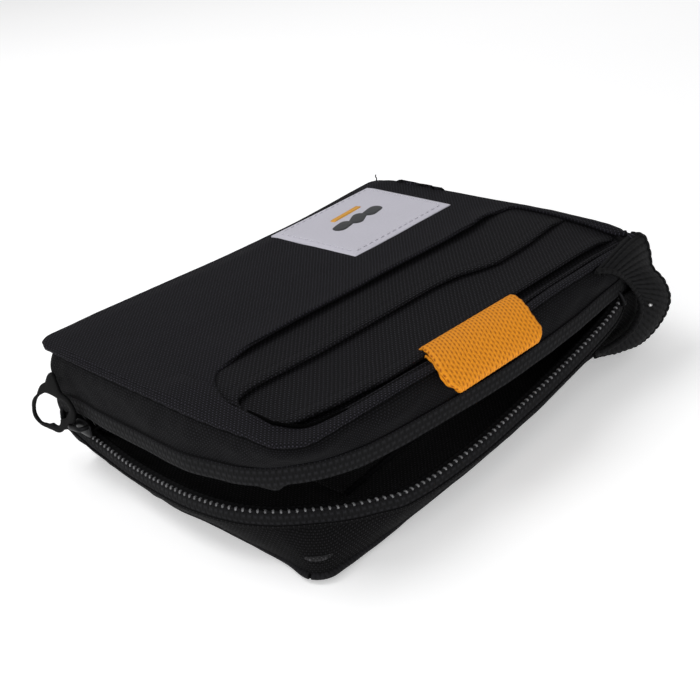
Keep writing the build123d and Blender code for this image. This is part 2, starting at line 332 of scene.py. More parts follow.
def ribbed(name, base, pitch=1.2, across=2.4, dash=0.5, bump=0.6, rough=0.7, sheen=0.1, dark=0.35, spec=0.35, deep=None):
    """Ribbed webbing or tape: cords along v, a staggered short dash between them, with painted shade darkening the
    dashes in the grooves and a painted highlight on the cord crowns.
    """
    n = Nodes(name)
    u, v = n.uv(wobble=0.10, scale=0.5)
    ru = n.m("ABSOLUTE", n.m("SINE", n.m("MULTIPLY", u, math.pi / pitch)))
    cell = n.m("FLOOR", n.m("ADD", n.m("DIVIDE", u, pitch), 0.5))
    shift = n.m("MULTIPLY", n.m("MODULO", n.m("ABSOLUTE", cell), 2.0), 0.5)
    sv = n.m("ABSOLUTE", n.m("SINE", n.m("MULTIPLY", n.m("ADD", n.m("DIVIDE", v, across), shift), math.pi)))
    groove = n.m("POWER", ru, 0.7)
    d = n.m("SUBTRACT", 1.0, n.m("MULTIPLY", n.m("SUBTRACT", 1.0, n.m("POWER", ru, 1.5)), n.m("POWER", sv, 1.5)))
    h = n.m("MULTIPLY", groove, n.m("MULTIPLY_ADD", sv, dash, 1.0 - dash))
    fleck = n.noise(n.combine(n.m("MULTIPLY", u, 3.0), n.m("MULTIPLY", v, 1.0)), 1.6, 3.0, 0.7)
    tone = n.m("ADD", n.m("MULTIPLY", d, 0.75), n.m("MULTIPLY_ADD", fleck, 0.5, -0.25), clamp=True)
    # the dark end of the ramp (deep, or base tinted by dark) is painted shade in the grooves; the light end is a
    # painted highlight on the cord crowns
    col = n.ramp(tone, [(0.0, deep or tint(base, dark)), (0.6, base), (1.0, tint(base, 1.35))])
    n.set(Base_Color=col, Roughness=rough, Specular_IOR_Level=spec, Sheen_Weight=sheen, Sheen_Roughness=0.4)
    n.bump(n.m("ADD", h, n.m("MULTIPLY", fleck, 0.35)), bump, 0.0003)
    return n.mat


def zipper_tape(name, base):
    """Knitted zip tape: fine ribs across, and rows of small raised stitches along its length."""
    n = Nodes(name)
    u, v = n.uv()
    ribs = n.m("ABSOLUTE", n.m("SINE", n.m("MULTIPLY", u, math.pi / 0.75)))
    rows = n.m("ABSOLUTE", n.m("SINE", n.m("MULTIPLY", v, math.pi / 1.25)))
    cell = n.m("FLOOR", n.m("DIVIDE", v, 1.25))
    shift = n.m("MULTIPLY", n.m("MODULO", n.m("ABSOLUTE", cell), 2.0), 0.5)
    dots = n.m("ABSOLUTE", n.m("SINE", n.m("MULTIPLY", n.m("ADD", n.m("DIVIDE", u, 1.5), shift), math.pi)))
    dot = n.m("POWER", n.m("MULTIPLY", dots, rows), 2.2)
    fleck = n.noise(n.vec, 1.6, 3.0, 0.7)
    h = n.m("ADD", n.m("MULTIPLY", ribs, 0.3), dot)
    # the raised stitch dots and rib crowns are painted lighter: painted highlight on the raised knit
    tone = n.m("ADD", n.m("MULTIPLY", dot, 0.65), n.m("MULTIPLY", n.m("MULTIPLY", ribs, fleck), 0.5), clamp=True)
    col = n.ramp(tone, [(0.0, tint(base, 0.45)), (0.4, base), (1.0, tint(base, 3.2))])
    n.set(Base_Color=col, Roughness=0.85, Specular_IOR_Level=0.15)
    n.bump(h, 0.6, 0.00025)
    return n.mat


def satin(name, base):
    n = Nodes(name)
    u, v = n.uv(wobble=0.06, scale=0.3)
    a = n.m("ABSOLUTE", n.m("SINE", n.m("MULTIPLY", u, math.pi / 0.32)))
    b = n.m("ABSOLUTE", n.m("SINE", n.m("MULTIPLY", n.m("ADD", v, n.m("MULTIPLY", u, 0.5)), math.pi / 0.45)))
    fleck = n.noise(n.vec, 1.4, 3.0, 0.7)
    cloud = n.noise(n.vec, 0.08, 2.0)
    tone = n.m("ADD", n.m("MULTIPLY", n.m("MULTIPLY", a, b), 0.35), n.m("MULTIPLY", fleck, 0.45))
    tone = n.m("ADD", tone, n.m("MULTIPLY_ADD", cloud, 0.3, -0.1), clamp=True)
    col = n.ramp(tone, [(0.0, tint(base, 0.84)), (0.5, base), (1.0, tint(base, 1.1))])
    n.set(Base_Color=col, Roughness=0.55, Specular_IOR_Level=0.4, Sheen_Weight=0.1)
    n.bump(n.m("ADD", n.m("MULTIPLY", a, b), n.m("MULTIPLY", fleck, 0.5)), 0.35, 0.00012)
    return n.mat


def thread(name, base, rough=0.6):
    """Twisted thread or embroidery: short slanting strands."""
    n = Nodes(name)
    t = n.nt.nodes.new("ShaderNodeTexCoord")
    w = n.nt.nodes.new("ShaderNodeTexWave")
    w.bands_direction = "DIAGONAL"
    w.inputs["Scale"].default_value = 900.0
    w.inputs["Distortion"].default_value = 3.0
    n.nt.links.new(t.outputs["Object"], w.inputs["Vector"])
    f = n.noise(t.outputs["Object"], 1500.0, 2.0)
    tone = n.m("MULTIPLY_ADD", w.outputs["Fac"], 0.5, n.m("MULTIPLY", f, 0.5))
    col = n.ramp(tone, [(0.0, tint(base, 0.55)), (0.5, base), (1.0, tint(base, 1.4))])
    n.set(Base_Color=col, Roughness=rough, Specular_IOR_Level=0.35, Sheen_Weight=0.1)
    n.bump(w.outputs["Fac"], 0.4, 0.00008)
    return n.mat


def metal(name, base, rough=0.32):
    """Gunmetal plate: fine scratches, rubbed lighter in patches."""
    n = Nodes(name)
    t = n.nt.nodes.new("ShaderNodeTexCoord")
    a = n.noise(t.outputs["Object"], 260.0, 4.0, 0.65)
    b = n.noise(t.outputs["Object"], 2600.0, 2.0, 0.7)
    tone = n.m("MULTIPLY_ADD", a, 0.7, n.m("MULTIPLY", b, 0.3))
    col = n.ramp(tone, [(0.25, tint(base, 0.6)), (0.55, base), (0.85, tint(base, 1.7))])
    n.set(Base_Color=col, Metallic=0.95)
    n.put(n.b.inputs["Roughness"], n.m("MULTIPLY_ADD", a, 0.25, rough - 0.1))
    n.bump(b, 0.15, 0.00005)
    return n.mat


def plastic(name, base, rough=0.3):
    n = Nodes(name)
    t = n.nt.nodes.new("ShaderNodeTexCoord")
    a = n.noise(t.outputs["Object"], 900.0, 3.0, 0.6)
    col = n.ramp(a, [(0.3, tint(base, 0.6)), (0.7, tint(base, 1.4))])
    n.set(Base_Color=col, Specular_IOR_Level=0.6)
    n.put(n.b.inputs["Roughness"], n.m("MULTIPLY_ADD", a, 0.2, rough - 0.1))
    n.bump(a, 0.2, 0.00004)
    return n.mat


M_TOP = woven("m_top_cordura", (0.0098, 0.0093, 0.0124), 0.50, contrast=2.3, bump=0.9)
M_CARD = woven("m_card_cordura", (0.0086, 0.0083, 0.0103), 0.56, contrast=3.2, bump=1.0)
# the walls, gussets and bottom use darker copies of the top's black cordura: painted shade on the sides and underside
# that face away from the light
M_GUSSET_PAINTED_SHADE = woven("m_gusset_cordura_painted_shade", (0.0038, 0.0037, 0.0047), 0.48, contrast=2.6)
M_FOOT_PAINTED_SHADE = woven("m_foot_cordura_painted_shade", (0.0048, 0.0047, 0.0052), 0.48, contrast=2.0)
M_LINING = woven("m_lining", (0.0430, 0.0425, 0.0445), 0.5, contrast=0.7, bump=0.3, sheen=0.0, spec=0.1)
M_BIND = ribbed("m_binding", (0.0080, 0.0078, 0.0092), pitch=0.8, across=1.6, dash=0.3, dark=0.4, sheen=0.0, spec=0.15, rough=0.85)
M_TAPE = zipper_tape("m_zip_tape", (0.0060, 0.0060, 0.0068))
# the black nylon coil is given a grey colour so each turn reads as a bright dot: painted highlight
M_COIL_PAINTED_HIGHLIGHT = plastic("m_zip_coil_painted_highlight", (0.11, 0.11, 0.115), 0.25)
M_METAL = metal("m_gunmetal", (0.012, 0.012, 0.013), 0.45)
M_BRIGHT = metal("m_bright_metal", (0.55, 0.55, 0.55), 0.25)
M_WEB = ribbed("m_black_webbing", (0.0062, 0.0062, 0.0068), pitch=1.3, across=2.2, dash=0.35, dark=0.3, sheen=0.0, spec=0.15, rough=0.85)
# near-black colour for the tube in the pocket-end groove: painted shade
M_GROOVE_PAINTED_SHADE = woven("m_groove_painted_shade", (0.0010, 0.0010, 0.0011), 0.4, contrast=0.8, spec=0.03)
M_WEB2 = ribbed("m_loop_ribbon", (0.0016, 0.0016, 0.0018), pitch=0.5, across=1.0, dash=0.2, dark=0.5, sheen=0.0, spec=0.06, rough=0.7, bump=0.2)
M_ORANGE = ribbed("m_orange_webbing", (0.74, 0.262, 0.011), pitch=27.4 / 32, across=1.2, dash=0.7, deep=(0.30, 0.070, 0.002), sheen=0.0, spec=0.2, bump=0.5)
M_LABEL = satin("m_label", (0.60, 0.585, 0.66))
M_MARK = thread("m_label_mark", (0.022, 0.023, 0.027))
M_MARK2 = thread("m_label_mark_orange", (0.72, 0.34, 0.03))
M_THREAD = thread("m_thread_light", (0.66, 0.65, 0.71))
M_THREAD_D = thread("m_thread_black", (0.016, 0.016, 0.019))
M_BOARD = woven("m_board", (0.010, 0.010, 0.011), 0.8, contrast=0.4, bump=0.2)


# ---------------------------------------------------------------------------
# Mesh builders
# ---------------------------------------------------------------------------
def build(name, verts, faces, mat, uv=None, sharp=None, mats=None, face_mat=None):
    """One object from points in pouch millimetres."""
    me = bpy.data.meshes.new(name)
    me.from_pydata([tuple(v) for v in row(verts)], [], [tuple(int(i) for i in f) for f in faces])
    me.update()
    if uv is not None:
        a = me.attributes.new("wuv", "FLOAT_VECTOR", "POINT")
        full = np.zeros((len(verts), 3), np.float32)
        full[:, :np.asarray(uv).shape[1]] = uv
        a.data.foreach_set("vector", full.reshape(-1))
    bm = bmesh.new()
    bm.from_mesh(me)
    bmesh.ops.recalc_face_normals(bm, faces=bm.faces)
    bm.to_mesh(me)
    bm.free()
    for m in (mats or [mat]):
        me.materials.append(m)
    if face_mat is not None:
        me.polygons.foreach_set("material_index", np.asarray(face_mat, np.int32))
    me.polygons.foreach_set("use_smooth", np.ones(len(me.polygons), bool))
    me.update()
    o = bpy.data.objects.new(name, me)
    bpy.context.scene.collection.objects.link(o)
    return o


def unit(v):
    return v / np.maximum(np.linalg.norm(v, axis=-1, keepdims=True), 1e-9)


def slab(name, P, t, uv, mat, wrap=False, parts=None, edge=0.5, shift=0.0):
    """A cloth layer of thickness t around (or, with shift, on one side of) the grid P, with rounded edges."""
    P = np.asarray(P, float)
    nu, nv = P.shape[:2]
    if wrap:
        du = np.roll(P, -1, 0) - np.roll(P, 1, 0)
    else:
        du = np.gradient(P, axis=0)
    dv = np.gradient(P, axis=1)
    N = unit(np.cross(du, dv))
    t = np.broadcast_to(np.asarray(t, float), (nu, nv))[..., None]
    top = P + N * t * (0.5 + shift)
    bot = P - N * t * (0.5 - shift)
    uv = np.asarray(uv, float)
    V = [top.reshape(-1, 3), bot.reshape(-1, 3)]
    U = [uv.reshape(-1, uv.shape[-1]), uv.reshape(-1, uv.shape[-1])]
    n = nu * nv
    idx = np.arange(n).reshape(nu, nv)
    F = []
    ni = nu if wrap else nu - 1
    for i in range(ni):
        k = (i + 1) % nu
        for j in range(nv - 1):
            a, b, c, d = idx[i, j], idx[k, j], idx[k, j + 1], idx[i, j + 1]
            F.append((a, b, c, d))
            F.append((n + a, n + d, n + c, n + b))
    T, Vv = unit(du), unit(dv)
    rings = []
    if wrap:
        rings.append([(i, 0) for i in range(nu)])
        rings.append([(i, nv - 1) for i in range(nu)])
    else:
        rings.append([(i, 0) for i in range(nu)] + [(nu - 1, j) for j in range(1, nv)]
                     + [(i, nv - 1) for i in range(nu - 2, -1, -1)] + [(0, j) for j in range(nv - 2, 0, -1)])
    count = 2 * n
    for ring in rings:
        m = len(ring)
        layers = []
        for th in (0.9, 0.0, -0.9):
            mids, muv = [], []
            for (i, j) in ring:
                o = np.zeros(3)
                w = np.zeros(uv.shape[-1])
                if j == 0:
                    o -= Vv[i, j]
                    w += uv[i, 0] - uv[i, 1]
                if j == nv - 1:
                    o += Vv[i, j]
                    w += uv[i, -1] - uv[i, -2]
                if not wrap:
                    if i == 0:
                        o -= T[i, j]
                        w += uv[0, j] - uv[1, j]
                    if i == nu - 1:
                        o += T[i, j]
                        w += uv[-1, j] - uv[-2, j]
                o = unit(o)
                mids.append(P[i, j] + N[i, j] * t[i, j] * (shift + 0.5 * math.sin(th)) + o * t[i, j] * edge * math.cos(th))
                muv.append(uv[i, j] + unit(w) * t[i, j] * (1.35 - abs(th) * 0.9) * 0.6)
            V.append(np.array(mids))
            U.append(np.array(muv))
            layers.append(count)
            count += m
        for q in range(m):
            r = (q + 1) % m
            a, b = idx[ring[q]], idx[ring[r]]
            F.append((a, layers[0] + q, layers[0] + r, b))
            for x, y in ((0, 1), (1, 2)):
                F.append((layers[x] + q, layers[y] + q, layers[y] + r, layers[x] + r))
            F.append((layers[2] + q, n + a, n + b, layers[2] + r))
    return build(name, np.vstack(V), F, mat, np.vstack(U))


def disc(name, outline, zf, t, mat, rings=14, centre=(56.0, 42.6), pinch=None):
    """A closed flat cloth piece inside an outline; zf(x, y, v) gives the top, v 0 at the edge and 1 at the centre."""
    outline = np.asarray(outline, float)
    n = len(outline)
    V, U = [], []
    for side in (0, 1):
        for r in range(rings):
            v = (r / rings) ** 1.3
            xy = outline[:, :2] * (1 - v) + np.array(centre) * v
            z = zf(xy[:, 0], xy[:, 1], v) - side * t
            V.append(np.column_stack([xy, z]))
            U.append(xy)
        V.append(np.array([[centre[0], centre[1], float(zf(np.array([centre[0]]), np.array([centre[1]]), 1.0)[0]) - side * t]]))
        U.append(np.array([centre]))
    block = rings * n + 1
    F = []
    for side in (0, 1):
        o = side * block
        for r in range(rings - 1):
            for i in range(n):
                k = (i + 1) % n
                F.append((o + r * n + i, o + r * n + k, o + (r + 1) * n + k, o + (r + 1) * n + i))
        for i in range(n):
            F.append((o + (rings - 1) * n + i, o + (rings - 1) * n + (i + 1) % n, o + rings * n))
    nrm = unit(outline[:, :2] - np.array(centre))
    mid = np.column_stack([outline[:, :2] + nrm * t * 0.5, V[0][:, 2] - t / 2])
    o = 2 * block
    V.append(mid)
    U.append(outline[:, :2])
    for i in range(n):
        k = (i + 1) % n
        F.append((i, o + i, o + k, k))
        F.append((block + i, block + k, o + k, o + i))
    return build(name, np.vstack(V), F, mat, np.vstack(U))


def tube_data(path, rad, seg=8, closed=False, flat=1.0, up=None, caps=True):
    """Points and faces of a tube along a path; rad may vary, flat squeezes it along the frame's second axis."""
    p = np.asarray(path, float)
    n = len(p)
    rad = np.broadcast_to(np.asarray(rad, float), (n,))
    if closed:
        t = unit(np.roll(p, -1, 0) - np.roll(p, 1, 0))
    else:
        t = unit(np.gradient(p, axis=0))
    if up is not None:
        up = np.broadcast_to(np.asarray(up, float), (n, 3))
        a = unit(np.cross(t, up))
    else:
        a = np.zeros((n, 3))
        ref = np.array([0, 0, 1.0]) if abs(t[0][2]) < 0.9 else np.array([1.0, 0, 0])
        a[0] = unit(np.cross(t[0], ref))
        for k in range(1, n):
            v = a[k - 1] - t[k] * np.dot(a[k - 1], t[k])
            a[k] = unit(v)
    b = np.cross(a, t)
    ang = np.linspace(0, 2 * math.pi, seg, endpoint=False)
    V = (p[:, None, :] + (a[:, None, :] * np.cos(ang)[None, :, None]
                          + b[:, None, :] * np.sin(ang)[None, :, None] * flat) * rad[:, None, None])
    F = []
    m = n if closed else n - 1
    for i in range(m):
        k = (i + 1) % n
        for j in range(seg):
            q = (j + 1) % seg
            F.append((i * seg + j, k * seg + j, k * seg + q, i * seg + q))
    V = V.reshape(-1, 3)
    s = np.concatenate([[0], np.cumsum(np.linalg.norm(np.diff(p, axis=0), axis=1))])
    U = np.stack([np.repeat(s, seg), np.tile(ang * rad.mean(), n)], 1)
    if not closed and caps:
        V = np.vstack([V, p[0] - t[0] * rad[0] * 0.5, p[-1] + t[-1] * rad[-1] * 0.5])
        U = np.vstack([U, U[0], U[-1]])
        e = n * seg
        for j in range(seg):
            q = (j + 1) % seg
            F.append((e, q, j))
            F.append((e + 1, (n - 1) * seg + j, (n - 1) * seg + q))
    return V, F, U


def join_data(items):
    V, F, U, c = [], [], [], 0
    for v, f, u in items:
        V.append(v)
        U.append(u)
        F += [tuple(i + c for i in q) for q in f]
        c += len(v)
    return np.vstack(V), F, np.vstack(U)


def tube(name, path, rad, mat, **kw):
    v, f, u = tube_data(path, rad, **kw)
    return build(name, v, f, mat, u)


def stitches(path, length, gap, rad, sink=0.0, lift=None):
    """Short thread loops along a path that dip into the cloth at their ends."""
    p = np.asarray(path, float)
    s = np.concatenate([[0], np.cumsum(np.linalg.norm(np.diff(p, axis=0), axis=1))])
    lift = np.array([0, 0, 1.0]) if lift is None else lift
    items = []
    a = gap
    while a + length < s[-1]:
        q = np.linspace(a, a + length, 5)
        pts = np.stack([np.interp(q, s, p[:, k]) for k in range(3)], 1)
        l = lift if np.ndim(lift) == 1 else np.stack([np.interp(q, s, lift[:, k]) for k in range(3)], 1)
        prof = np.array([-1.0, 0.45, 0.7, 0.45, -1.0])[:, None] * rad
        items.append(tube_data(pts + l * prof, np.array([0.7, 1, 1, 1, 0.7]) * rad, seg=6))
        a += length + gap
    return items


def blend_lid(o):
    a = row([A_FOLD[0], A_FOLD[1], 29.8])
    b = row([A_FOLD[0] - N_FOLD[0] * 11, A_FOLD[1] - N_FOLD[1] * 11, 29.8])
    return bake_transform(o)


def done(o, body, slot, *nodes):
    if body == "lid":
        blend_lid(o)
    else:
        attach(o, body)
    if nodes:
        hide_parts(*nodes)
    return o


# ---------------------------------------------------------------------------
# Lower half: bottom, gusset, tape, coil teeth
# ---------------------------------------------------------------------------
S0, S1 = -77.0, 104.0                      # the zip's run, from the left side round to the front right
s_zip = np.linspace(S0, S1, 240)
s_wall = np.linspace(S1 - 0.5, PER + S0 + 0.5, 250)
s_all = np.linspace(0, PER, 420, endpoint=False)

foot = FOOT.pt(s_zip)
coil = COIL.pt(s_zip)
tape_lo = COIL.pt(s_zip, -0.25, 0.0)
tape_lo[:, 2] = coil[:, 2] - np.clip((coil[:, 2] - foot[:, 2]) * 0.30, 1.6, 2.7)
n_foot = FOOT.normal(s_zip)
n_coil = COIL.normal(s_zip)
rows = []
NV = 22
for j in range(NV):
    v = j / (NV - 1)
    p = foot * (1 - v) + tape_lo * v
    nn = unit(n_foot * (1 - v) + n_coil * v)
    bulge = 0.95 * math.sin(math.pi * min(1.0, v)) ** 0.8 * (1 - 1.3 * smooth((s_zip - 40) / 35.0))
    wr = fbm(s_zip * 0.9, v * 9.0, 0.0, 9.0, 3, seed=3.1) * 0.55 * math.sin(math.pi * v)
    p[:, :2] += nn * (bulge + wr)[:, None]
    rows.append(p)
P = np.stack(rows, 1)
hgt = np.linspace(0, 1, NV)[None, :] * np.linalg.norm(tape_lo - foot, axis=1)[:, None]
UV = np.stack([np.repeat(s_zip[:, None], NV, 1), hgt], -1)
o = slab("lower_gusset_cloth", P, 0.9, UV, M_FOOT_PAINTED_SHADE, shift=-0.5)
done(o, "base", "black_cordura", "lower_gusset")

# zip tape of the lower side, from the seam up to the coil and a little over it, inwards
rows, hv = [], []
for v in np.linspace(0, 1, 12):
    a = tape_lo + np.column_stack([n_coil * 0.28, np.zeros(len(s_zip))])
    b = coil + np.column_stack([-n_coil * 0.2, np.zeros(len(s_zip))])
    p = a * (1 - v) + b * v
    p[:, :2] += n_coil * 0.22 * math.sin(math.pi * v)
    rows.append(p)
    hv.append(v * 2.6)
c = coil + np.column_stack([-n_coil * 2.4, np.full(len(s_zip), -0.1)])
for v in (0.25, 0.6, 1.0):
    rows.append(rows[11] * (1 - v) + c * v + np.array([0, 0, 0.35 * math.sin(math.pi * v * 0.8)]))
    hv.append(2.6 + 2.2 * v)
P = np.stack(rows, 1)
UV = np.stack([np.repeat(s_zip[:, None], len(rows), 1), np.repeat(np.array(hv)[None, :], len(s_zip), 0)], -1)
o = slab("lower_zip_tape_cloth", P, 0.55, UV, M_TAPE, shift=-0.5)
done(o, "base", "zip_tape", "lower_zip_tape")

# seam between tape and gusset: a rolled edge
seam = tape_lo + np.column_stack([n_coil * 0.35, np.full(len(s_zip), -0.15)])
o = tube("lower_tape_seam", seam, 0.34, M_FOOT_PAINTED_SHADE, seg=8)
done(o, "base", "black_cordura")


def coil_teeth(name, level, s_from, s_to, pitch, inward, up, mat, core_mat):
    """A nylon zip coil: one bead per turn across the tape's edge, round a thin core cord."""
    items = []
    s_f = np.linspace(s_from, s_to, 500)
    p_f = level.pt(s_f)
    d = np.concatenate([[0], np.cumsum(np.linalg.norm(np.diff(p_f, axis=0), axis=1))])
    k = int(d[-1] / pitch)
    s_t = np.interp(np.arange(k) * pitch + pitch / 2, d, s_f)
    p = level.pt(s_t)
    nrm = level.normal(s_t)
    n3 = np.column_stack([nrm, np.zeros(k)])
    t3 = unit(level.pt(s_t + 0.3) - level.pt(s_t - 0.3))
    for i in range(k):
        # a turn: rises from the outer side, over, and down inside
        a = p[i] + n3[i] * (0.15 - inward) + np.array([0, 0, up])
        path = []
        for q in np.linspace(-0.2 * math.pi, 1.2 * math.pi, 7):
            path.append(a + n3[i] * 0.26 * math.cos(q) + np.array([0, 0, 1.0]) * 0.20 * math.sin(q) * (1 if up >= 0 else -1)
                        + t3[i] * 0.06 * math.cos(q))
        items.append(tube_data(np.array(path), 0.24, seg=8))
    v, f, u = join_data(items)
    o = build(name, v, f, mat, u)
    core = level.pt(s_f, 0.1 - inward, up * 0.6)
    c = tube(name + "_core", core, 0.26, core_mat, seg=7)
    return o, c


o, c = coil_teeth("lower_coil_turns", COIL, S0 + 1.5, S1 - 2.5, 1.5, 0.62, 0.22, M_COIL_PAINTED_HIGHLIGHT, M_TAPE)
done(o, "base", "zip_coil", "lower_zip_coil")
done(c, "base", "zip_tape")

# bottom: outer panel, edge binding, stiffener, lining
foot_all = FOOT.pt(s_all)
o = disc("bottom_panel_cloth", foot_all + np.array([0, 0, 0.0]),
         lambda x, y, v: np.full(np.shape(x), 0.95) - 0.25 * smooth(v * 6), 0.7, M_FOOT_PAINTED_SHADE)
done(o, "base", "black_cordura", "bottom_panel")
rim = FOOT.pt(s_all, 0.05, 0.15)
rim[:, 2] += fbm(rim[:, 0], rim[:, 1], 0, 6.0, 2, 1.0) * 0.12
o = tube("bottom_edge_binding", rim, 0.68, M_BIND, seg=10, closed=True)
done(o, "base", "black_binding", "bottom_binding")
inner = FOOT.pt(s_all, -1.6, 0)
o = disc("bottom_stiffener_board", inner, lambda x, y, v: np.full(np.shape(x), 2.3), 0.9, M_BOARD)
done(o, "base", "foam_board", "bottom_stiffener")
lin = FOOT.pt(s_all, -1.1, 0)


def z_floor(x, y, v):
    return 2.95 + 0.9 * (1 - smooth(v * 9)) + 0.12 * fbm(x, y, 0, 14.0, 2, 5.0)


o = disc("bottom_lining_cloth", lin, z_floor, 0.5, M_LINING, rings=22)
done(o, "base", "black_lining", "bottom_lining")

# slip pocket inside: a lining panel with a rolled open edge running across
ax = np.linspace(22, 106, 90)
ay = np.linspace(0, 1, 40)
P = np.zeros((90, 40, 3))
for i, x in enumerate(ax):
    y0 = 12.6 + 0.06 * (x - 20) + 0.7 * math.sin((x - 18) / 30.0)
    for j, v in enumerate(ay):
        y = y0 + v * (78 - y0)
        P[i, j] = (x, y, 3.55 + 0.9 * math.exp(-(v * 60) / 3.5) * math.sin(math.pi * (i + 1) / 92))
P[..., 2] += fbm(P[..., 0], P[..., 1], 0, 18.0, 2, 9.0) * 0.2
o = slab("slip_pocket_cloth", P, 0.6, P[..., :2], M_LINING)
done(o, "base", "black_lining", "slip_pocket")
edge = P[:, 0] + np.array([0, 0.1, 0.1])
o = tube("slip_pocket_hem", edge, 0.55, M_BIND, seg=8)
done(o, "base", "black_binding")

# ---------------------------------------------------------------------------
# Closed walls at the right and the back
# ---------------------------------------------------------------------------
foot_w, top_w = FOOT.pt(s_wall), TOP.pt(s_wall, -0.75, -0.75)
mid_push = 0.9
rows = []
NW = 34
nf, nt = FOOT.normal(s_wall), TOP.normal(s_wall)
for j in range(NW):
    v = j / (NW - 1)
    p = foot_w * (1 - v) + top_w * v
    nn = unit(nf * (1 - v) + nt * v)
    wr = fbm(s_wall, v * 26.0, 0.0, 13.0, 3, seed=8.0) * 0.8 * math.sin(math.pi * v)
    out = 1.3 * math.sin(math.pi * v) ** 0.9 + wr + 0.5 * smooth(v * 2) * (1 - smooth((v - 0.5) * 2.2))
    near = np.exp(-((s_wall - (PER - 77.0)) / 7.0) ** 2) * math.sin(math.pi * v) ** 0.7
    p[:, :2] += nn * (out - 1.5 * near)[:, None]
    rows.append(p)
P = np.stack(rows, 1)
UV = np.stack([np.repeat(s_wall[:, None], NW, 1), np.repeat(np.linspace(0, 26, NW)[None, :], len(s_wall), 0)], -1)
o = slab("wall_cloth_right_back", P, 1.0, UV, M_GUSSET_PAINTED_SHADE, shift=-0.5)
done(o, "base", "black_cordura", "right_wall", "back_wall")
WALL_P = P
for k, (i, nm) in enumerate(((2, "wall_end_seam_front"), (len(s_wall) - 3, "wall_end_seam_left"))):
    o = tube(nm, P[i, 1:-1] + np.array([0, 0, 0]), 0.5, M_BIND, seg=8)
    done(o, "base", "black_binding")

# ---------------------------------------------------------------------------
# Upper half: lip tape, gusset, coil
# ---------------------------------------------------------------------------
lip = LIP.pt(s_zip)
top = TOP.pt(s_zip)
n_lip, n_top = LIP.normal(s_zip), TOP.normal(s_zip)
TAPE_H = 3.3
up_lo = lip + np.column_stack([-n_lip * 0.15, np.full(len(s_zip), TAPE_H)])
rows = []
NG = 30
for j in range(NG):
    v = j / (NG - 1)
    a = up_lo
    b = top + np.column_stack([-n_top * 0.55, np.full(len(s_zip), -0.5)])
    p = a * (1 - v) + b * v
    nn = unit(n_lip * (1 - v) + n_top * v)
    wr = fbm(s_zip, v * 12.0, 0.0, 11.0, 3, seed=1.7) * 0.7 * math.sin(math.pi * v)
    pucker = 0.10 * np.sin(s_zip * 2 * math.pi / 4.3 + 2.0 * np.sin(s_zip / 11.0)) * smooth((v - 0.55) / 0.45)
    shoulder = np.clip((-TOP.off(s_zip) - 0.2) / 1.6, 0.25, 1.2)
    end = 0.9 * np.exp(-((s_zip - S0) / 6.0) ** 2) * math.sin(math.pi * min(1.0, 0.25 + 0.75 * v)) ** 0.7
    p[:, :2] += nn * (0.75 * math.sin(math.pi * v) ** 0.8 + 0.95 * shoulder * math.sin(math.pi * v ** 1.9) + wr + pucker - end)[:, None]
    rows.append(p)
P = np.stack(rows, 1)
UV = np.stack([np.repeat(s_zip[:, None], NG, 1), np.repeat(np.linspace(0, 8.2, NG)[None, :], len(s_zip), 0)], -1)
o = slab("upper_gusset_cloth", P, 0.9, UV, M_GUSSET_PAINTED_SHADE, shift=-0.5)
done(o, "lid", "black_cordura", "upper_gusset")

rows, hv = [], []
a = up_lo + np.column_stack([n_lip * 0.12, np.full(len(s_zip), 0.1)])
b = lip
for v in np.linspace(0, 1, 14):
    p = a * (1 - v) + b * v
    p[:, :2] += n_lip * 0.15 * math.sin(math.pi * v)
    p[:, 2] += fbm(s_zip, v * 4, 0, 7.0, 2, 4.4) * 0.10 * v
    rows.append(p)
    hv.append(v * 3.4)
droop = np.exp(-((s_zip + 6.5) / 4.2) ** 2)
c = lip + np.column_stack([-n_lip * (2.6 - 0.9 * droop)[:, None], 0.7 - 2.9 * droop])
for v in (0.12, 0.35, 0.7, 1.0):
    p = rows[13] * (1 - v) + c * v
    p[:, 2] -= 0.35 * math.sin(math.pi * min(1, v * 1.2))
    rows.append(p)
    hv.append(3.4 + 2.6 * v)
P = np.stack(rows, 1)
UV = np.stack([np.repeat(s_zip[:, None], len(rows), 1), np.repeat(np.array(hv)[None, :], len(s_zip), 0)], -1)
o = slab("upper_zip_tape_cloth", P, 0.55, UV, M_TAPE, shift=0.0)
done(o, "lid", "zip_tape", "upper_zip_tape")
o, c = coil_teeth("upper_coil_turns", LIP, S0 + 3.0, S1 - 3.0, 1.5, 1.9, -0.35, M_COIL_PAINTED_HIGHLIGHT, M_TAPE)
done(o, "lid", "zip_coil", "upper_zip_coil")
done(c, "lid", "zip_tape")
seam = up_lo + np.column_stack([n_lip * 0.32, np.full(len(s_zip), 0.15)])
o = tube("upper_tape_seam", seam, 0.3, M_GUSSET_PAINTED_SHADE, seg=8)
done(o, "lid", "black_cordura")

# ---------------------------------------------------------------------------
# Lid: lining, board, card layers, top panel
# ---------------------------------------------------------------------------
LINE1 = pchip([0, 5.6, 6.3, 8.6, 11, 14.1, 30, 60, 92, 101, 107.5, 111.8, 120],
              [22, 24.1, 26.7, 30.6, 33.1, 34.9, 35.9, 36.0, 36.2, 37.5, 37.0, 35.4, 35.4])
LINE2 = pchip([5.5, 6.9, 7.7, 9, 11.7, 19.9, 31.2, 63.1, 70.7, 76.8, 82.4, 92.2, 99.3, 112, 120],
              [17.0, 19, 21.9, 23.5, 24.1, 23.8, 23.2, 23.4, 22.6, 20.7, 19.5, 19.8, 20.6, 21.9, 22.0])
LINE3 = pchip([5.5, 6.9, 8.2, 10.2, 12.9, 18.8, 25, 33, 38.4, 55, 75.1, 88, 104, 113],
              [16.5, 15, 11.7, 9.6, 8.8, 7.6, 7.0, 6.2, 6.2, 7.4, 7.6, 7.6, 7.9, 8.0])
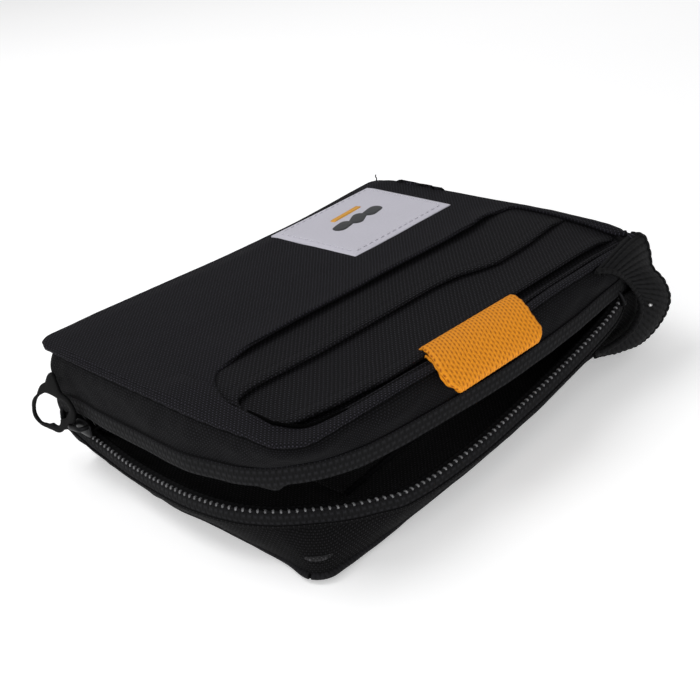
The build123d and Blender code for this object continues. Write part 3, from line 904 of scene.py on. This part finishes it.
RIDGE = pchip([5.5, 8.0, 8.9, 10.7, 14.2, 21.2, 37.2, 55, 72, 87, 97, 104, 113],
              [10.5, 8.6, 7.4, 6.6, 5.8, 4.7, 4.2, 3.9, 3.8, 3.8, 3.9, 4.0, 3.9])
FRONT = pchip([5.5, 7.3, 9.6, 15.9, 24.3, 33.7, 55, 72, 90, 104, 112],
              [8.6, 7.0, 5.5, 4.1, 3.5, 3.3, 2.9, 2.7, 2.6, 2.7, 2.6])


def z_inner(x, y):
    """Height of the top cloth away from the edges."""
    x, y = np.asarray(x, float), np.asarray(y, float)
    z = 27.75 + 1.35 * smooth(y / 34.0)
    z = z + 0.30 * np.sin(np.pi * np.clip(x / 112.0, 0, 1)) * smooth((y - 10) / 30) * (1 - smooth((y - 60) / 25))
    z = z - 0.35 * np.exp(-((x - 32) / 16) ** 2) * (1 - smooth(y / 26.0))
    z = z - 1.0 * smooth((x - 92) / 18) * (1 - smooth((y - 2) / 16.0))
    z = z - 1.0 * np.exp(-np.abs((x - 54.5) / 17.0) ** 4) * (1 - smooth((y - 0.5) / 7.5))
    z = z + 0.25 * smooth((x - 80) / 30) * smooth((y - 12) / 10)
    return z


def edge_dist(x, y):
    x, y = np.asarray(x, float), np.asarray(y, float)
    return np.minimum.reduce([x, LEN - x, DEP - y, y])


# lid lining under the lid, the board above it
lid_out = TOP.pt(s_all, -1.5, 0)
z_edge = {}


def z_lid(base, drop):
    def f(x, y, v):
        return z_inner(x, y) - drop + 0.0 * x
    return f


o = disc("lid_lining_cloth", lid_out, z_lid(0, 3.4), 0.45, M_LINING, rings=20)
done(o, "lid", "black_lining", "lid_lining_rear", "lid_lining_flap")
o = disc("lid_board_layer", TOP.pt(s_all, -2.0, 0), z_lid(0, 2.35), 0.95, M_BOARD, rings=20)
done(o, "lid", "foam_board", "lid_board_rear", "lid_board_flap")


def front_sheet(name, line, x0, x1, back, zf, t, mat, nx=300, ny=38, lip=0.45):
    """A card layer: its free front edge follows line(x) and is thickened by its hem; it runs back to y = back."""
    u = np.linspace(0, 1, nx)
    xs = x0 + (x1 - x0) * (u - 0.85 * np.sin(2 * math.pi * u) / (2 * math.pi))
    e = line(xs)
    f = np.linspace(0, 1, ny) ** 1.7
    Y = e[:, None] + f[None, :] * (back - e)[:, None]
    X = np.repeat(xs[:, None], ny, 1)
    d = Y - e[:, None]
    Z = zf(X, Y) - 0.20 * (1 - smooth(d / 0.9)) - 0.10 * np.exp(-((d - 2.6) / 0.35) ** 2)
    thick = t + lip * (1 - smooth((d - 1.6) / 1.6))
    P = np.stack([X, Y, Z], -1)
    return slab(name, P, thick, P[..., :2], mat, shift=-0.5, edge=0.45)


def lift(x, y, line, x0, x1, h, reach):
    """The free edge of a pocket stands up between its sewn ends."""
    return h * np.exp(-np.clip(y - line(x), 0, None) / reach) * smooth((x - x0) / 4.0) * (1 - smooth((x - x1) / 8.0))


def left_drop(x):
    return 0.5 * (1 - smooth((x - 6.0) / 9.0))


def z_c3(x, y):
    return z_inner(x, y) - 1.80 + 0.80 * smooth((6.2 - y) / 2.0) - left_drop(x)


def z_c2(x, y):
    return z_inner(x, y) - 1.32 - left_drop(x) + lift(x, y, LINE3, 4.6, 102, 1.4, 8.0) + 0.05 * fbm(x, y, 0, 16.0, 2, 2.2)


def z_c1(x, y):
    return z_inner(x, y) - 0.84 - left_drop(x) + lift(x, y, LINE2, 4.6, 103, 1.3, 9.0) + 0.05 * fbm(x, y, 0, 16.0, 2, 6.1)


# front base layer, a rolled ridge in front of the pockets
o = front_sheet("card_layer_3_cloth", RIDGE, 5.8, 110.6, 18.0, z_c3, 0.42, M_CARD, lip=0.2)
done(o, "lid", "black_cordura", "card_layer_3_rear", "card_layer_3_flap")
xs = np.linspace(7.5, 110.0, 200)
p = np.column_stack([xs, RIDGE(xs) + 0.2, z_c3(xs, RIDGE(xs)) + 0.12 - 0.75 * smooth((xs - 42.5) / 2.5) * (1 - smooth((xs - 67.0) / 2.5))])
o = tube("card_layer_3_fold", p, 0.52, M_CARD, seg=10)
done(o, "lid", "black_cordura")
o = front_sheet("card_layer_2_cloth", LINE3, 5.6, 111.0, 34.0, z_c2, 0.42, M_CARD)
done(o, "lid", "black_cordura", "card_layer_2_rear", "card_layer_2_flap")
o = front_sheet("card_layer_1_cloth", LINE2, 5.55, 111.0, 46.0, z_c1, 0.42, M_CARD)
done(o, "lid", "black_cordura", "card_layer_1_rear", "card_layer_1_flap")

# top panel: from the outer seam to the edge of the card window
s_top = np.linspace(0, PER, 560, endpoint=False)
outer = TOP.pt(s_top)
n_out = TOP.normal(s_top)
win, n_win = rr(s_top, rect=(5.9, 5.0, 109.4, 36.0), radii=(5.0, 1.2, 1.2, 8.0))
wx, wy = win[:, 0].copy(), win[:, 1].copy()
mid_y = (wy - 5.0) / 31.0
wy = FRONT(np.clip(wx, 5.6, 112)) * (1 - smooth(mid_y * 1.0)) + 0 * wy
l1 = LINE1(np.clip(wx, 5.7, 112))
lo = FRONT(np.clip(wx, 5.6, 112))
wy = lo + (l1 - lo) * np.clip((win[:, 1] - 5.0) / 31.0, 0, 1)
NR = 52
rows, uvr = [], []
prof = [(-0.10, -0.62), (0.26, -0.42), (0.34, -0.05), (0.10, 0.26), (-0.42, 0.42)]
back_side = smooth((s_top - 118) / 14.0) * (1 - smooth((s_top - 300) / 14.0))
front_side = (1 - smooth((s_top - 108) / 12.0)) * smooth((s_top - 14) / 26.0)
k_roll = 1.0 + 2.6 * np.exp(-((s_top - (PER - 87.0)) / 8.0) ** 2)
k_puck = 1.0 - 0.75 * back_side - 0.5 * front_side
for (push, dz) in prof:
    p = outer.copy()
    p[:, :2] += n_out * (push * k_roll)[:, None]
    p[:, 2] += dz * (k_roll if dz < 0 else 1.0)
    p[:, :2] += n_out * (0.08 * k_puck * np.sin(s_top * 2 * math.pi / 4.3 + 2 * np.sin(s_top / 11.0)))[:, None]
    rows.append(p)
    uvr.append(p)
start = rows[-1]
acc = np.zeros(len(s_top))
fixed = [start[:, :2].copy()]
for k in range(len(prof) - 2, -1, -1):
    acc = acc + np.linalg.norm(rows[k] - rows[k + 1], axis=1)
    fixed.append(start[:, :2] + n_out * acc[:, None])
uvr = fixed[::-1]
for j in range(1, NR + 1):
    v = (j / NR)
    v = v ** 1.25
    xy = start[:, :2] * (1 - v) + np.column_stack([wx, wy]) * v
    d = np.linalg.norm(xy - outer[:, :2], axis=1)
    w = smooth(d / 6.0)
    zi = z_inner(xy[:, 0], xy[:, 1])
    raise1 = 1.25 * np.exp(-np.clip(xy[:, 1] - LINE1(np.clip(xy[:, 0], 5.7, 112)), 0, None) / 6.0) \
        * smooth((xy[:, 0] - 12) / 12.0) * (1 - smooth((xy[:, 0] - 96) / 12.0)) * (xy[:, 1] > 30)
    left = 0.75 * np.exp(-np.clip(5.9 - xy[:, 0], 0, None) / 2.5) * (xy[:, 0] < 8.5) * smooth((xy[:, 1] - 6.0) / 5.0) * (1 - smooth((xy[:, 1] - 34) / 8.0))
    z = start[:, 2] * (1 - w) + (zi + raise1 + left) * w
    z += fbm(xy[:, 0], xy[:, 1], 0, 20.0, 3, 7.7) * 0.22 * w
    p = np.column_stack([xy, z])
    rows.append(p)
    uvr.append(xy)
last = rows[-1]
inward = unit(np.column_stack([wx, wy]) - rows[-3][:, :2])
for (push, dz) in ((0.22, -0.12), (0.32, -0.38)):
    p = last.copy()
    p[:, :2] += inward * push
    p[:, 2] += dz
    rows.append(p)
    uvr.append(p[:, :2].copy())
P = np.stack(rows, 1)
UV = np.stack(uvr, 1)
o = slab("top_panel_cloth", P, 0.8, UV, M_TOP, wrap=True, shift=-0.5)
done(o, "lid", "black_cordura", "top_panel_rear", "top_panel_flap", "pocket_side_seam_rear", "pocket_side_seam_flap",
     "lid_binding_rear", "lid_binding_flap")
TOP_ROWS = P

# a near-black tube laid in the groove round the pockets' left ends: painted shade, standing in for the shadow in that
# groove
ring = np.vstack([TOP_ROWS[s_top > PER - 44, -3], TOP_ROWS[s_top < 26, -3]])
ring = ring[(ring[:, 0] < 19.0) & (ring[:, 1] < 34.0)]
ring = catmull(ring[::3], 120)
dirn = unit(np.gradient(ring[:, :2], axis=0))
ring[:, :2] += np.column_stack([-dirn[:, 1], dirn[:, 0]]) * 0.22
ring[:, 2] += 0.04 + 0.30 * (1 - smooth((ring[:, 0] - 8.0) / 3.0))
taper = 0.34 * np.sin(np.pi * np.linspace(0.05, 0.95, 120)) ** 0.35
o = tube("pocket_end_groove_painted_shade", ring, taper, M_GROOVE_PAINTED_SHADE, seg=8)
done(o, "lid", "black_binding")

# piping in the groove under the top panel's edge
pipe = TOP.pt(s_all, -0.75, -0.62)
pipe[:, 2] += 0.10 * np.sin(s_all * 2 * math.pi / 4.3)
o = tube("lid_edge_piping", pipe, 0.34, M_BIND, seg=8, closed=True)
done(o, "lid", "black_binding")


def top_z(x, y):
    zi = z_inner(x, y)
    return zi


# a loose end of sewing thread at the back right corner
q = TOP.pt(np.array([197.3]), -0.5, 0.2)[0]
t = np.linspace(0, 1, 26)
curl = q + np.column_stack([0.35 * np.sin(t * 7.0) * t, 0.25 * np.cos(t * 6.0) * t, 1.75 * t ** 0.8])
o = tube("loose_thread_end", curl, 0.16, M_BIND, seg=7)
done(o, "base", "black_binding")

# ---------------------------------------------------------------------------
# Woven label with a made-up mark
# ---------------------------------------------------------------------------
LC = np.array([[67.6, 79.4], [67.2, 49.6], [103.1, 51.3], [104.3, 81.4]])   # back left, front left, front right, back right


def label_pt(a, b, lift_by=0.0):
    """a 0..1 left to right, b 0..1 front to back."""
    a, b = np.asarray(a, float), np.asarray(b, float)
    p = (LC[1] * ((1 - a) * (1 - b))[..., None] + LC[2] * (a * (1 - b))[..., None]
         + LC[0] * ((1 - a) * b)[..., None] + LC[3] * (a * b)[..., None])
    z = z_inner(p[..., 0], p[..., 1]) + 0.12
    e = np.minimum.reduce([a * 36, (1 - a) * 36, b * 30, (1 - b) * 30])
    z = z + 0.32 * smooth(e / 1.6) - 0.12 * np.exp(-((e - 1.5) / 0.35) ** 2) + lift_by
    back = DEP - p[..., 1]
    z = z - 0.5 * (1 - smooth(back / 7.0))
    return np.concatenate([p, z[..., None]], -1)


ga, gb = np.meshgrid(np.linspace(0, 1, 110), np.linspace(0, 1, 90), indexing="ij")
P = label_pt(ga, gb)
UV = np.stack([ga * 36, gb * 30], -1)
o = slab("woven_label_cloth", P, 0.55, UV, M_LABEL, shift=-0.3)
done(o, "base", "label_satin", "woven_label")
items = []
m = 1.5
lu, lv = m / 36, m / 30
corners = [(lu, lv), (1 - lu, lv), (1 - lu, 1 - lv), (lu, 1 - lv)]
for k in range(4):
    a, b = corners[k], corners[(k + 1) % 4]
    t = np.linspace(0, 1, 80)
    path = label_pt(a[0] + (b[0] - a[0]) * t, a[1] + (b[1] - a[1]) * t, 0.16)
    items += stitches(path, 1.7, 0.45, 0.13)
v, f, u = join_data(items)
o = build("label_stitch_thread", v, f, M_THREAD, u)
done(o, "base", "label_thread", "label_stitches")


def patch(name, outline, mat, raise_by=0.30, n=22):
    """A small embroidered shape on the label, crowned, from an outline in label millimetres."""
    pts = np.array(outline, float)
    pts = catmull(np.vstack([pts, pts[:1]]), 4 * n)[:-1]
    c = pts.mean(0)
    V, U, F = [], [], []
    rings = 5
    N = len(pts)
    for r in range(rings):
        v = r / rings
        q = pts * (1 - v) + c * v
        z = raise_by * (0.0 if r == 0 else 1.0) + 0.10 * smooth(v * 1.2)
        p = label_pt(q[:, 0] / 36, q[:, 1] / 30, 0.0)
        p[:, 2] += z + 0.02
        V.append(p)
        U.append(q)
    q = c[None]
    p = label_pt(q[:, 0] / 36, q[:, 1] / 30, 0.0)
    p[:, 2] += raise_by + 0.14
    V.append(p)
    U.append(q)
    low = label_pt(pts[:, 0] / 36, pts[:, 1] / 30, 0.0)
    low[:, 2] -= 0.1
    V.append(low)
    U.append(pts)
    lowc = label_pt(q[:, 0] / 36, q[:, 1] / 30, 0.0)
    lowc[:, 2] -= 0.1
    V.append(lowc)
    U.append(q)
    for r in range(rings - 1):
        for i in range(N):
            k = (i + 1) % N
            F.append((r * N + i, r * N + k, (r + 1) * N + k, (r + 1) * N + i))
    cc = rings * N
    for i in range(N):
        F.append(((rings - 1) * N + i, (rings - 1) * N + (i + 1) % N, cc))
    b0 = cc + 1
    for i in range(N):
        k = (i + 1) % N
        F.append((i, b0 + i, b0 + k, k))
        F.append((b0 + i, b0 + N, b0 + k))
    return build(name, np.vstack(V), F, mat, np.vstack(U))


def pill(x0, y0, x1, y1, r, k=7):
    """Outline of a round-ended bar."""
    d = unit(np.array([x1 - x0, y1 - y0], float))
    base = math.atan2(d[1], d[0])
    out = []
    for q in np.linspace(-math.pi / 2, math.pi / 2, k):
        out.append((x1 + r * math.cos(base + q), y1 + r * math.sin(base + q)))
    for q in np.linspace(math.pi / 2, 3 * math.pi / 2, k):
        out.append((x0 + r * math.cos(base + q), y0 + r * math.sin(base + q)))
    return out


# a plain pattern of the builder's own: three separate slanting lozenges under an orange dash
for k, (x, l) in enumerate(((10.6, 6.6), (16.2, 7.6), (21.8, 6.6))):
    o = patch(f"label_mark_{k + 1}", pill(x, 15.6 - l * 0.5 + 3.2, x + 2.8, 15.6 + l * 0.5 - 3.2 + 0.4, 2.1), M_MARK, 0.28)
    done(o, "base", "label_mark", *(["label_mark"] if k == 0 else []))
o = patch("label_mark_stripe", pill(13.2, 20.6, 23.6, 21.3, 0.85), M_MARK2)
done(o, "base", "label_mark")

# ---------------------------------------------------------------------------
# Orange pull tab folded over the front edge, and its strap inside the pocket
# ---------------------------------------------------------------------------
NT = 150
prof = catmull([(12.5, 26.62), (10.4, 26.62), (8.9, 26.72), (8.0, 27.1), (7.35, 27.7), (6.3, 28.2), (4.8, 28.42), (3.2, 28.3), (1.6, 27.9),
                (0.1, 27.2), (-1.2, 26.2), (-2.3, 24.95), (-3.05, 23.8), (-3.35, 22.95), (-3.05, 22.35), (-2.4, 22.5), (-1.9, 23.4),
                (-1.2, 24.6), (-0.1, 25.7), (1.3, 26.5), (3.2, 26.95), (5.0, 26.85), (6.4, 26.5)], NT)
W = 27.4
nx = 260
ws = np.linspace(0, W, nx)
P = np.zeros((nx, NT, 3))
UV = np.zeros((nx, NT, 2))
arc = np.concatenate([[0], np.cumsum(np.linalg.norm(np.diff(prof, axis=0), axis=1))])
d2 = np.gradient(prof, axis=0)
nrm2 = unit(np.column_stack([-d2[:, 1], d2[:, 0]]))     # to the right of travel: outwards for this path
if nrm2[20][1] < 0:
    nrm2 = -nrm2
for i, w in enumerate(ws):
    pitch = W / 32
    rib = abs(math.sin(math.pi * w / pitch)) ** 0.7
    k = int(w / pitch)
    edge = min(w, W - w)
    for j in range(NT):
        dash = abs(math.sin(math.pi * (arc[j] / 1.2 + 0.5 * (k % 2))))
        h = 0.10 * rib * (0.5 + 0.5 * dash) - 0.15 * (1 - smooth(edge / 0.7))
        sx = 42.3 + w
        scallop = 0.09 * math.sin(arc[j] * 2 * math.pi / 2.3) * (1 if w > W / 2 else -1) * (1 - smooth(edge / 1.0))
        tilt = (w / W - 0.5)
        tuck = smooth((prof[j, 0] - 5.5) / 2.5)
        y = prof[j, 0] + nrm2[j, 0] * h * (1 - tuck) + tilt * (-0.5)
        z = prof[j, 1] + nrm2[j, 1] * h * (1 - tuck)
        skew = -0.46 * min(max(7.3 - prof[j, 0], 0.0), 8.0)
        low = smooth((24.6 - prof[j, 1]) / 2.2) * smooth((2.0 - prof[j, 0]) / 3.0)
        corner = (1 - smooth(w / 2.2)) * 1.2 - (1 - smooth((W - w) / 2.2)) * 1.2
        P[i, j] = (sx + scallop + skew + corner * low, y, z + abs(corner) * 0.5 * low)
        UV[i, j] = (w, arc[j])
o = slab("pull_tab_webbing", P, 0.7, UV, M_ORANGE, shift=0.0)
done(o, "card_tab", "orange_webbing", "pull_tab")

# ---------------------------------------------------------------------------
# Finger loop: a broad ribbed strap round the front right corner
# ---------------------------------------------------------------------------
near = catmull([(90.5, 0.4, 26.4), (94.5, -1.5, 25.0), (98.3, -2.2, 21.8), (101.2, -2.6, 18.0), (103.0, -2.8, 14.6),
                (102.6, -2.8, 11.6), (99.6, -2.6, 9.2), (95.2, -2.0, 8.0), (89.6, -0.6, 7.4)], 170)
far = catmull([(109.0, 3.4, 27.7), (112.0, 1.9, 26.2), (112.4, 0.8, 22.8), (112.2, 0.0, 18.9), (112.2, -2.7, 16.4), (112.3, -4.1, 13.2),
               (112.2, -4.1, 10.6), (111.9, -2.8, 7.0), (110.4, -0.8, 3.4), (104.8, -0.6, 2.9), (98.6, 0.3, 3.8), (92.4, 1.6, 4.9)], 170)
hub = np.array([104.5, 7.5, 13.2])
NL, NB = 170, 46
arc_l = np.concatenate([[0], np.cumsum(np.linalg.norm(np.diff((near + far) / 2, axis=0), axis=1))])
P = np.zeros((NL, NB, 3))
UV = np.zeros((NL, NB, 2))
for i in range(NL):
    out = unit((near[i] + far[i]) / 2 - hub)
    wid = np.linalg.norm(far[i] - near[i])
    for j in range(NB):
        v = j / (NB - 1)
        p = near[i] * (1 - v) + far[i] * v
        ends = smooth(min(arc_l[i], arc_l[-1] - arc_l[i]) / 5.0)
        rib = 0.26 * abs(math.sin(math.pi * arc_l[i] / 1.45)) ** 0.8
        P[i, j] = p + out * ((1.45 * math.sin(math.pi * v) ** 0.8) * (0.35 + 0.65 * ends) + rib)
        UV[i, j] = (arc_l[i] * 1.3 / 1.45, v * wid)
o = slab("finger_loop_webbing", P, 1.2, UV, M_WEB, shift=-0.5)
done(o, "base", "black_webbing", "finger_loop")
for nm, j in (("finger_loop_edge_near", 0), ("finger_loop_edge_far", NB - 1)):
    o = tube(nm, P[2:-2, j], 0.55, M_WEB, seg=8)
    done(o, "base", "black_webbing")
# the corner cloth behind the loop, over the zip's closed end
low = catmull([(96.5, 5.0, 1.2), (101.0, 3.6, 1.2), (105.0, 3.0, 1.2), (108.8, 4.2, 1.2), (110.8, 7.6, 1.2), (111.2, 13.0, 1.2)], 90)
upp = catmull([(99.0, 1.9, 15.2), (102.0, 0.6, 15.6), (105.6, -0.4, 16.2), (109.2, 1.2, 17.0), (111.5, 5.6, 18.0), (111.6, 12.5, 19.0)], 90)
P = np.zeros((90, 30, 3))
UV = np.zeros((90, 30, 2))
al = np.concatenate([[0], np.cumsum(np.linalg.norm(np.diff(upp, axis=0), axis=1))])
cen = np.array([101.0, 12.0])
for i in range(90):
    for j in range(30):
        v = j / 29
        q = low[i] * (1 - v) + upp[i] * v
        d = unit(q[:2] - cen)
        k = 0.9 * math.sin(math.pi * v) + 0.5 * noise.noise(Vector((al[i] / 5.0, v * 3.0, 4.0))) * math.sin(math.pi * v)
        P[i, j] = (q[0] + d[0] * k, q[1] + d[1] * k, q[2])
        UV[i, j] = (al[i], v * 15)
o = slab("zip_end_tab_cloth", P, 0.8, UV, M_FOOT_PAINTED_SHADE, shift=-0.5)
done(o, "base", "black_webbing")
pin = np.array([105.0, -4.2, 13.4])
o = tube("finger_loop_rivet", [pin + np.array([0.0, 0.5, 0]), pin + np.array([0, 0.1, 0]), pin - np.array([0, 0.25, 0])], [0.5, 0.5, 0.3], M_BRIGHT, seg=12)
done(o, "base", "dark_metal")

# ---------------------------------------------------------------------------
# Pull loop: a thin ribbon ring, broad where it narrows to the top
# ---------------------------------------------------------------------------
for nm, s_at, tw in (("zip_stop_front", 99.2, 1.0), ("zip_stop_rear", -75.6, 1.0)):
    c0 = COIL.pt(np.array([s_at]), 0.2, 0.0)[0]
    c1 = LIP.pt(np.array([s_at]), -0.1, 0.2)[0]
    nn = np.array([*COIL.normal(np.array([s_at]))[0], 0.0])
    mid = (c0 + c1) / 2
    path = catmull([c0 - nn * 1.6, c0 - nn * 0.2 + np.array([0, 0, -0.5]), c0 + nn * 0.45, mid + nn * 0.5, c1 + nn * 0.45,
                    c1 - nn * 0.2 + np.array([0, 0, 0.5]), c1 - nn * 1.6], 30)
    o = tube(nm + "_clamp", path, 0.42, M_METAL, seg=10, flat=1.6)
    done(o, "base", "dark_metal", nm)


def by_angle(points, centre, n):
    """A closed outline resampled evenly by angle about its centre."""
    q = np.array(points, float) - np.array(centre)
    a = np.unwrap(np.arctan2(q[:, 1], q[:, 0]))
    if a[-1] < a[0]:
        a, q = a[::-1], q[::-1]
    r = np.linalg.norm(q, axis=1)
    a3 = np.concatenate([a - 2 * math.pi, a, a + 2 * math.pi])
    f = pchip(a3, np.concatenate([r, r, r]))
    t = np.linspace(0, 2 * math.pi, n, endpoint=False)
    return np.column_stack([np.cos(t), np.sin(t)]) * f(t)[:, None] + np.array(centre)


rc = (76.3, 14.6)
ring_out = by_angle([(71.19, 25.56), (75.95, 22.03), (80.89, 17.98), (85.33, 13.46), (85.87, 10.71), (84.05, 9.6), (80.67, 9.53), (77.87, 9.68),
                     (73.41, 11.28), (69.67, 13.26), (66.96, 15.74), (65.98, 18.72), (66.89, 20.13), (70.0, 21.4), (70.6, 23.4)], rc, 150)
ring_in = by_angle([(80.94, 17.47), (78.87, 18.66), (75.9, 19.65), (72.68, 19.58), (69.04, 19.5), (67.67, 18.44), (69.29, 16.22), (73.27, 13.71),
                    (77.39, 11.52), (80.82, 10.52), (83.66, 10.37), (84.73, 11.59), (84.31, 13.52), (83.02, 15.45)], rc, 150)
rows = []
for v in np.linspace(0, 1, 9):
    q = ring_out * (1 - v) + ring_in * v
    x = np.full(150, -2.35) - 0.12 * math.sin(math.pi * v) + 0.012 * (q[:, 1] - 14)
    rows.append(np.column_stack([x, q]))
P = np.stack(rows, 1)
UV = P[..., 1:3]
o = slab("pull_loop_ribbon", P, 0.5, UV, M_WEB2, wrap=True, shift=0.0, edge=0.3)
done(o, "loop", "dark_metal", "pull_loop")

# slider: a rounded plate outside and in, with an arched bridge for the loop
sy, sz = 67.2, 13.0
t = np.linspace(0, 2 * math.pi, 64, endpoint=False)
for nm, x, w, h in (("slider_plate_outer", -0.7, 2.6, 1.6), ("slider_plate_inner", 3.1, 2.7, 2.0)):
    rows = []
    for v in np.linspace(0, 1, 9):
        k = 1 - v * 0.985
        yy = sy + w * k * np.sign(np.cos(t)) * np.abs(np.cos(t)) ** 0.6
        zz = sz + h * k * np.sign(np.sin(t)) * np.abs(np.sin(t)) ** 0.7 * (1 - 0.18 * np.cos(t))
        rows.append(np.column_stack([np.full(64, x) - 0.22 * smooth(v * 2.2) * (1 if x < 0 else -1), yy, zz]))
    P = np.stack(rows, 1)
    o = slab(nm, P, 0.75, P[..., 1:3], M_METAL, wrap=True, shift=0.0)
    done(o, "slider", "dark_metal", *(["slider_body"] if x < 0 else []))
arch = catmull([(-0.6, 64.8, 14.0), (-2.0, 65.0, 14.0), (-2.8, 65.6, 14.0), (-3.0, 67.6, 13.8), (-2.9, 69.2, 13.5), (-1.9, 70.2, 13.3),
                (-0.6, 70.2, 13.2)], 40)
o = tube("slider_bridge_arch", arch, 0.36, M_METAL, seg=12, flat=1.6, up=(0, 0, 1))
done(o, "slider", "dark_metal", "slider_bridge")
post = catmull([(-0.6, 67.2, 11.6), (1.0, 67.2, 11.4), (3.0, 67.2, 11.6)], 16)
o = tube("slider_post", post, 0.55, M_METAL, seg=10)
done(o, "slider", "dark_metal")
gx, gy = np.meshgrid(np.linspace(43.2, 68.8, 90), np.linspace(0, 1, 50), indexing="ij")
gy = 9.0 + gy * (np.minimum(22.5, (0.589 * (103 - gx) - 9.5) / 0.808) - 9.0)      # its inner end is cut at a slant, along the lid's fold
floor_z = z_inner(gx, gy) - 1.75 - 0.55 * smooth((gy - 17.0) / 2.0)
roof_z = z_inner(gx, gy) - 1.32 + lift(gx, gy, LINE3, 5.5, 102, 1.25, 8.0) - 0.46
zs = 0.5 * (floor_z + roof_z) + 0.2
rib = 0.06 * np.abs(np.sin(math.pi * (gx - 43.6) / 1.136))
o = slab("pull_strap_webbing", np.stack([gx, gy, zs + rib], -1), 0.34, np.stack([gx - 42.6, gy], -1), M_ORANGE, shift=-0.5)
done(o, "card_tab", "orange_webbing", "pull_strap")

# ---------------------------------------------------------------------------
# Floor, light and camera
# ---------------------------------------------------------------------------
bpy.ops.mesh.primitive_plane_add(size=40.0, location=(0, 0, -0.0004))
floor = bpy.context.object
floor.name = "floor"
fm = Nodes("m_floor")
tc = fm.nt.nodes.new("ShaderNodeTexCoord")
fn = fm.noise(tc.outputs["Object"], 3.0, 3.0)
fm.set(Base_Color=fm.ramp(fn, [(0.3, (0.86, 0.86, 0.865)), (0.7, (0.88, 0.88, 0.885))]), Roughness=0.9, Specular_IOR_Level=0.1, Emission_Color=(1.0, 1.0, 1.0, 1.0), Emission_Strength=0.36)
floor.data.materials.append(fm.mat)

world = bpy.data.worlds.new("studio")
bpy.context.scene.world = world
world.use_nodes = True
world.node_tree.nodes["Background"].inputs[0].default_value = (1.0, 1.0, 1.0, 1.0)
world.node_tree.nodes["Background"].inputs[1].default_value = 0.36


def area(name, loc, target, size, power, color=(1, 1, 1)):
    l = bpy.data.lights.new(name, "AREA")
    l.shape = "SQUARE"
    l.size = size
    l.energy = power
    l.color = color
    ob = bpy.data.objects.new(name, l)
    ob.location = loc
    ob.rotation_euler = (Vector(target) - Vector(loc)).to_track_quat("-Z", "Y").to_euler()
    bpy.context.scene.collection.objects.link(ob)
    return ob


area("key_light", (-0.22, 0.40, 0.75), (0, 0, 0), 0.5, 3.6)
area("fill_light", (-0.7, -0.25, 0.45), (0, 0, 0.01), 0.6, 0.9)
area("rim_light", (0.7, 0.3, 0.5), (0, 0, 0.01), 0.5, 0.35)
area("mouth_light", (-0.26, -0.40, 0.075), (0.0, 0.0, 0.012), 0.22, 0.8)

cam_data = bpy.data.cameras.new("camera")
cam_data.sensor_width = 36.0
cam_data.lens = 56.26
cam_data.clip_start = 0.01
cam_data.clip_end = 80
cam = bpy.data.objects.new("camera", cam_data)
bpy.context.scene.collection.objects.link(cam)
R = Matrix(((0.6961588, 0.40441357, -0.59313791),
            (-0.70543454, 0.23214249, -0.6696805),
            (-0.13313538, 0.88462395, 0.44689534)))
cam.matrix_world = Matrix.Translation((-0.148223, -0.166303, 0.123432)) @ R.to_4x4()
bpy.context.scene.camera = cam
bpy.context.scene.view_settings.view_transform = "Standard"

# The cut sheets of cloth, with a width, how each is held and the board or cloth it rests on; the loop only looks each
# object up
for nm, width, held, rests in (("card_layer_1_cloth", 0.106, "stretched", ["lid_board_layer"]),
                               ("card_layer_2_cloth", 0.106, "stretched", ["lid_board_layer"]),
                               ("card_layer_3_cloth", 0.105, "stretched", ["lid_board_layer"]),
                               ("lid_lining_cloth", 0.107, "stretched", ["lid_board_layer"]),
                               ("bottom_lining_cloth", 0.105, "laid", ["bottom_stiffener_board"]),
                               ("slip_pocket_cloth", 0.100, "laid", ["bottom_lining_cloth"])):
    o = bpy.data.objects[nm]

bpy.context.view_layer.update()
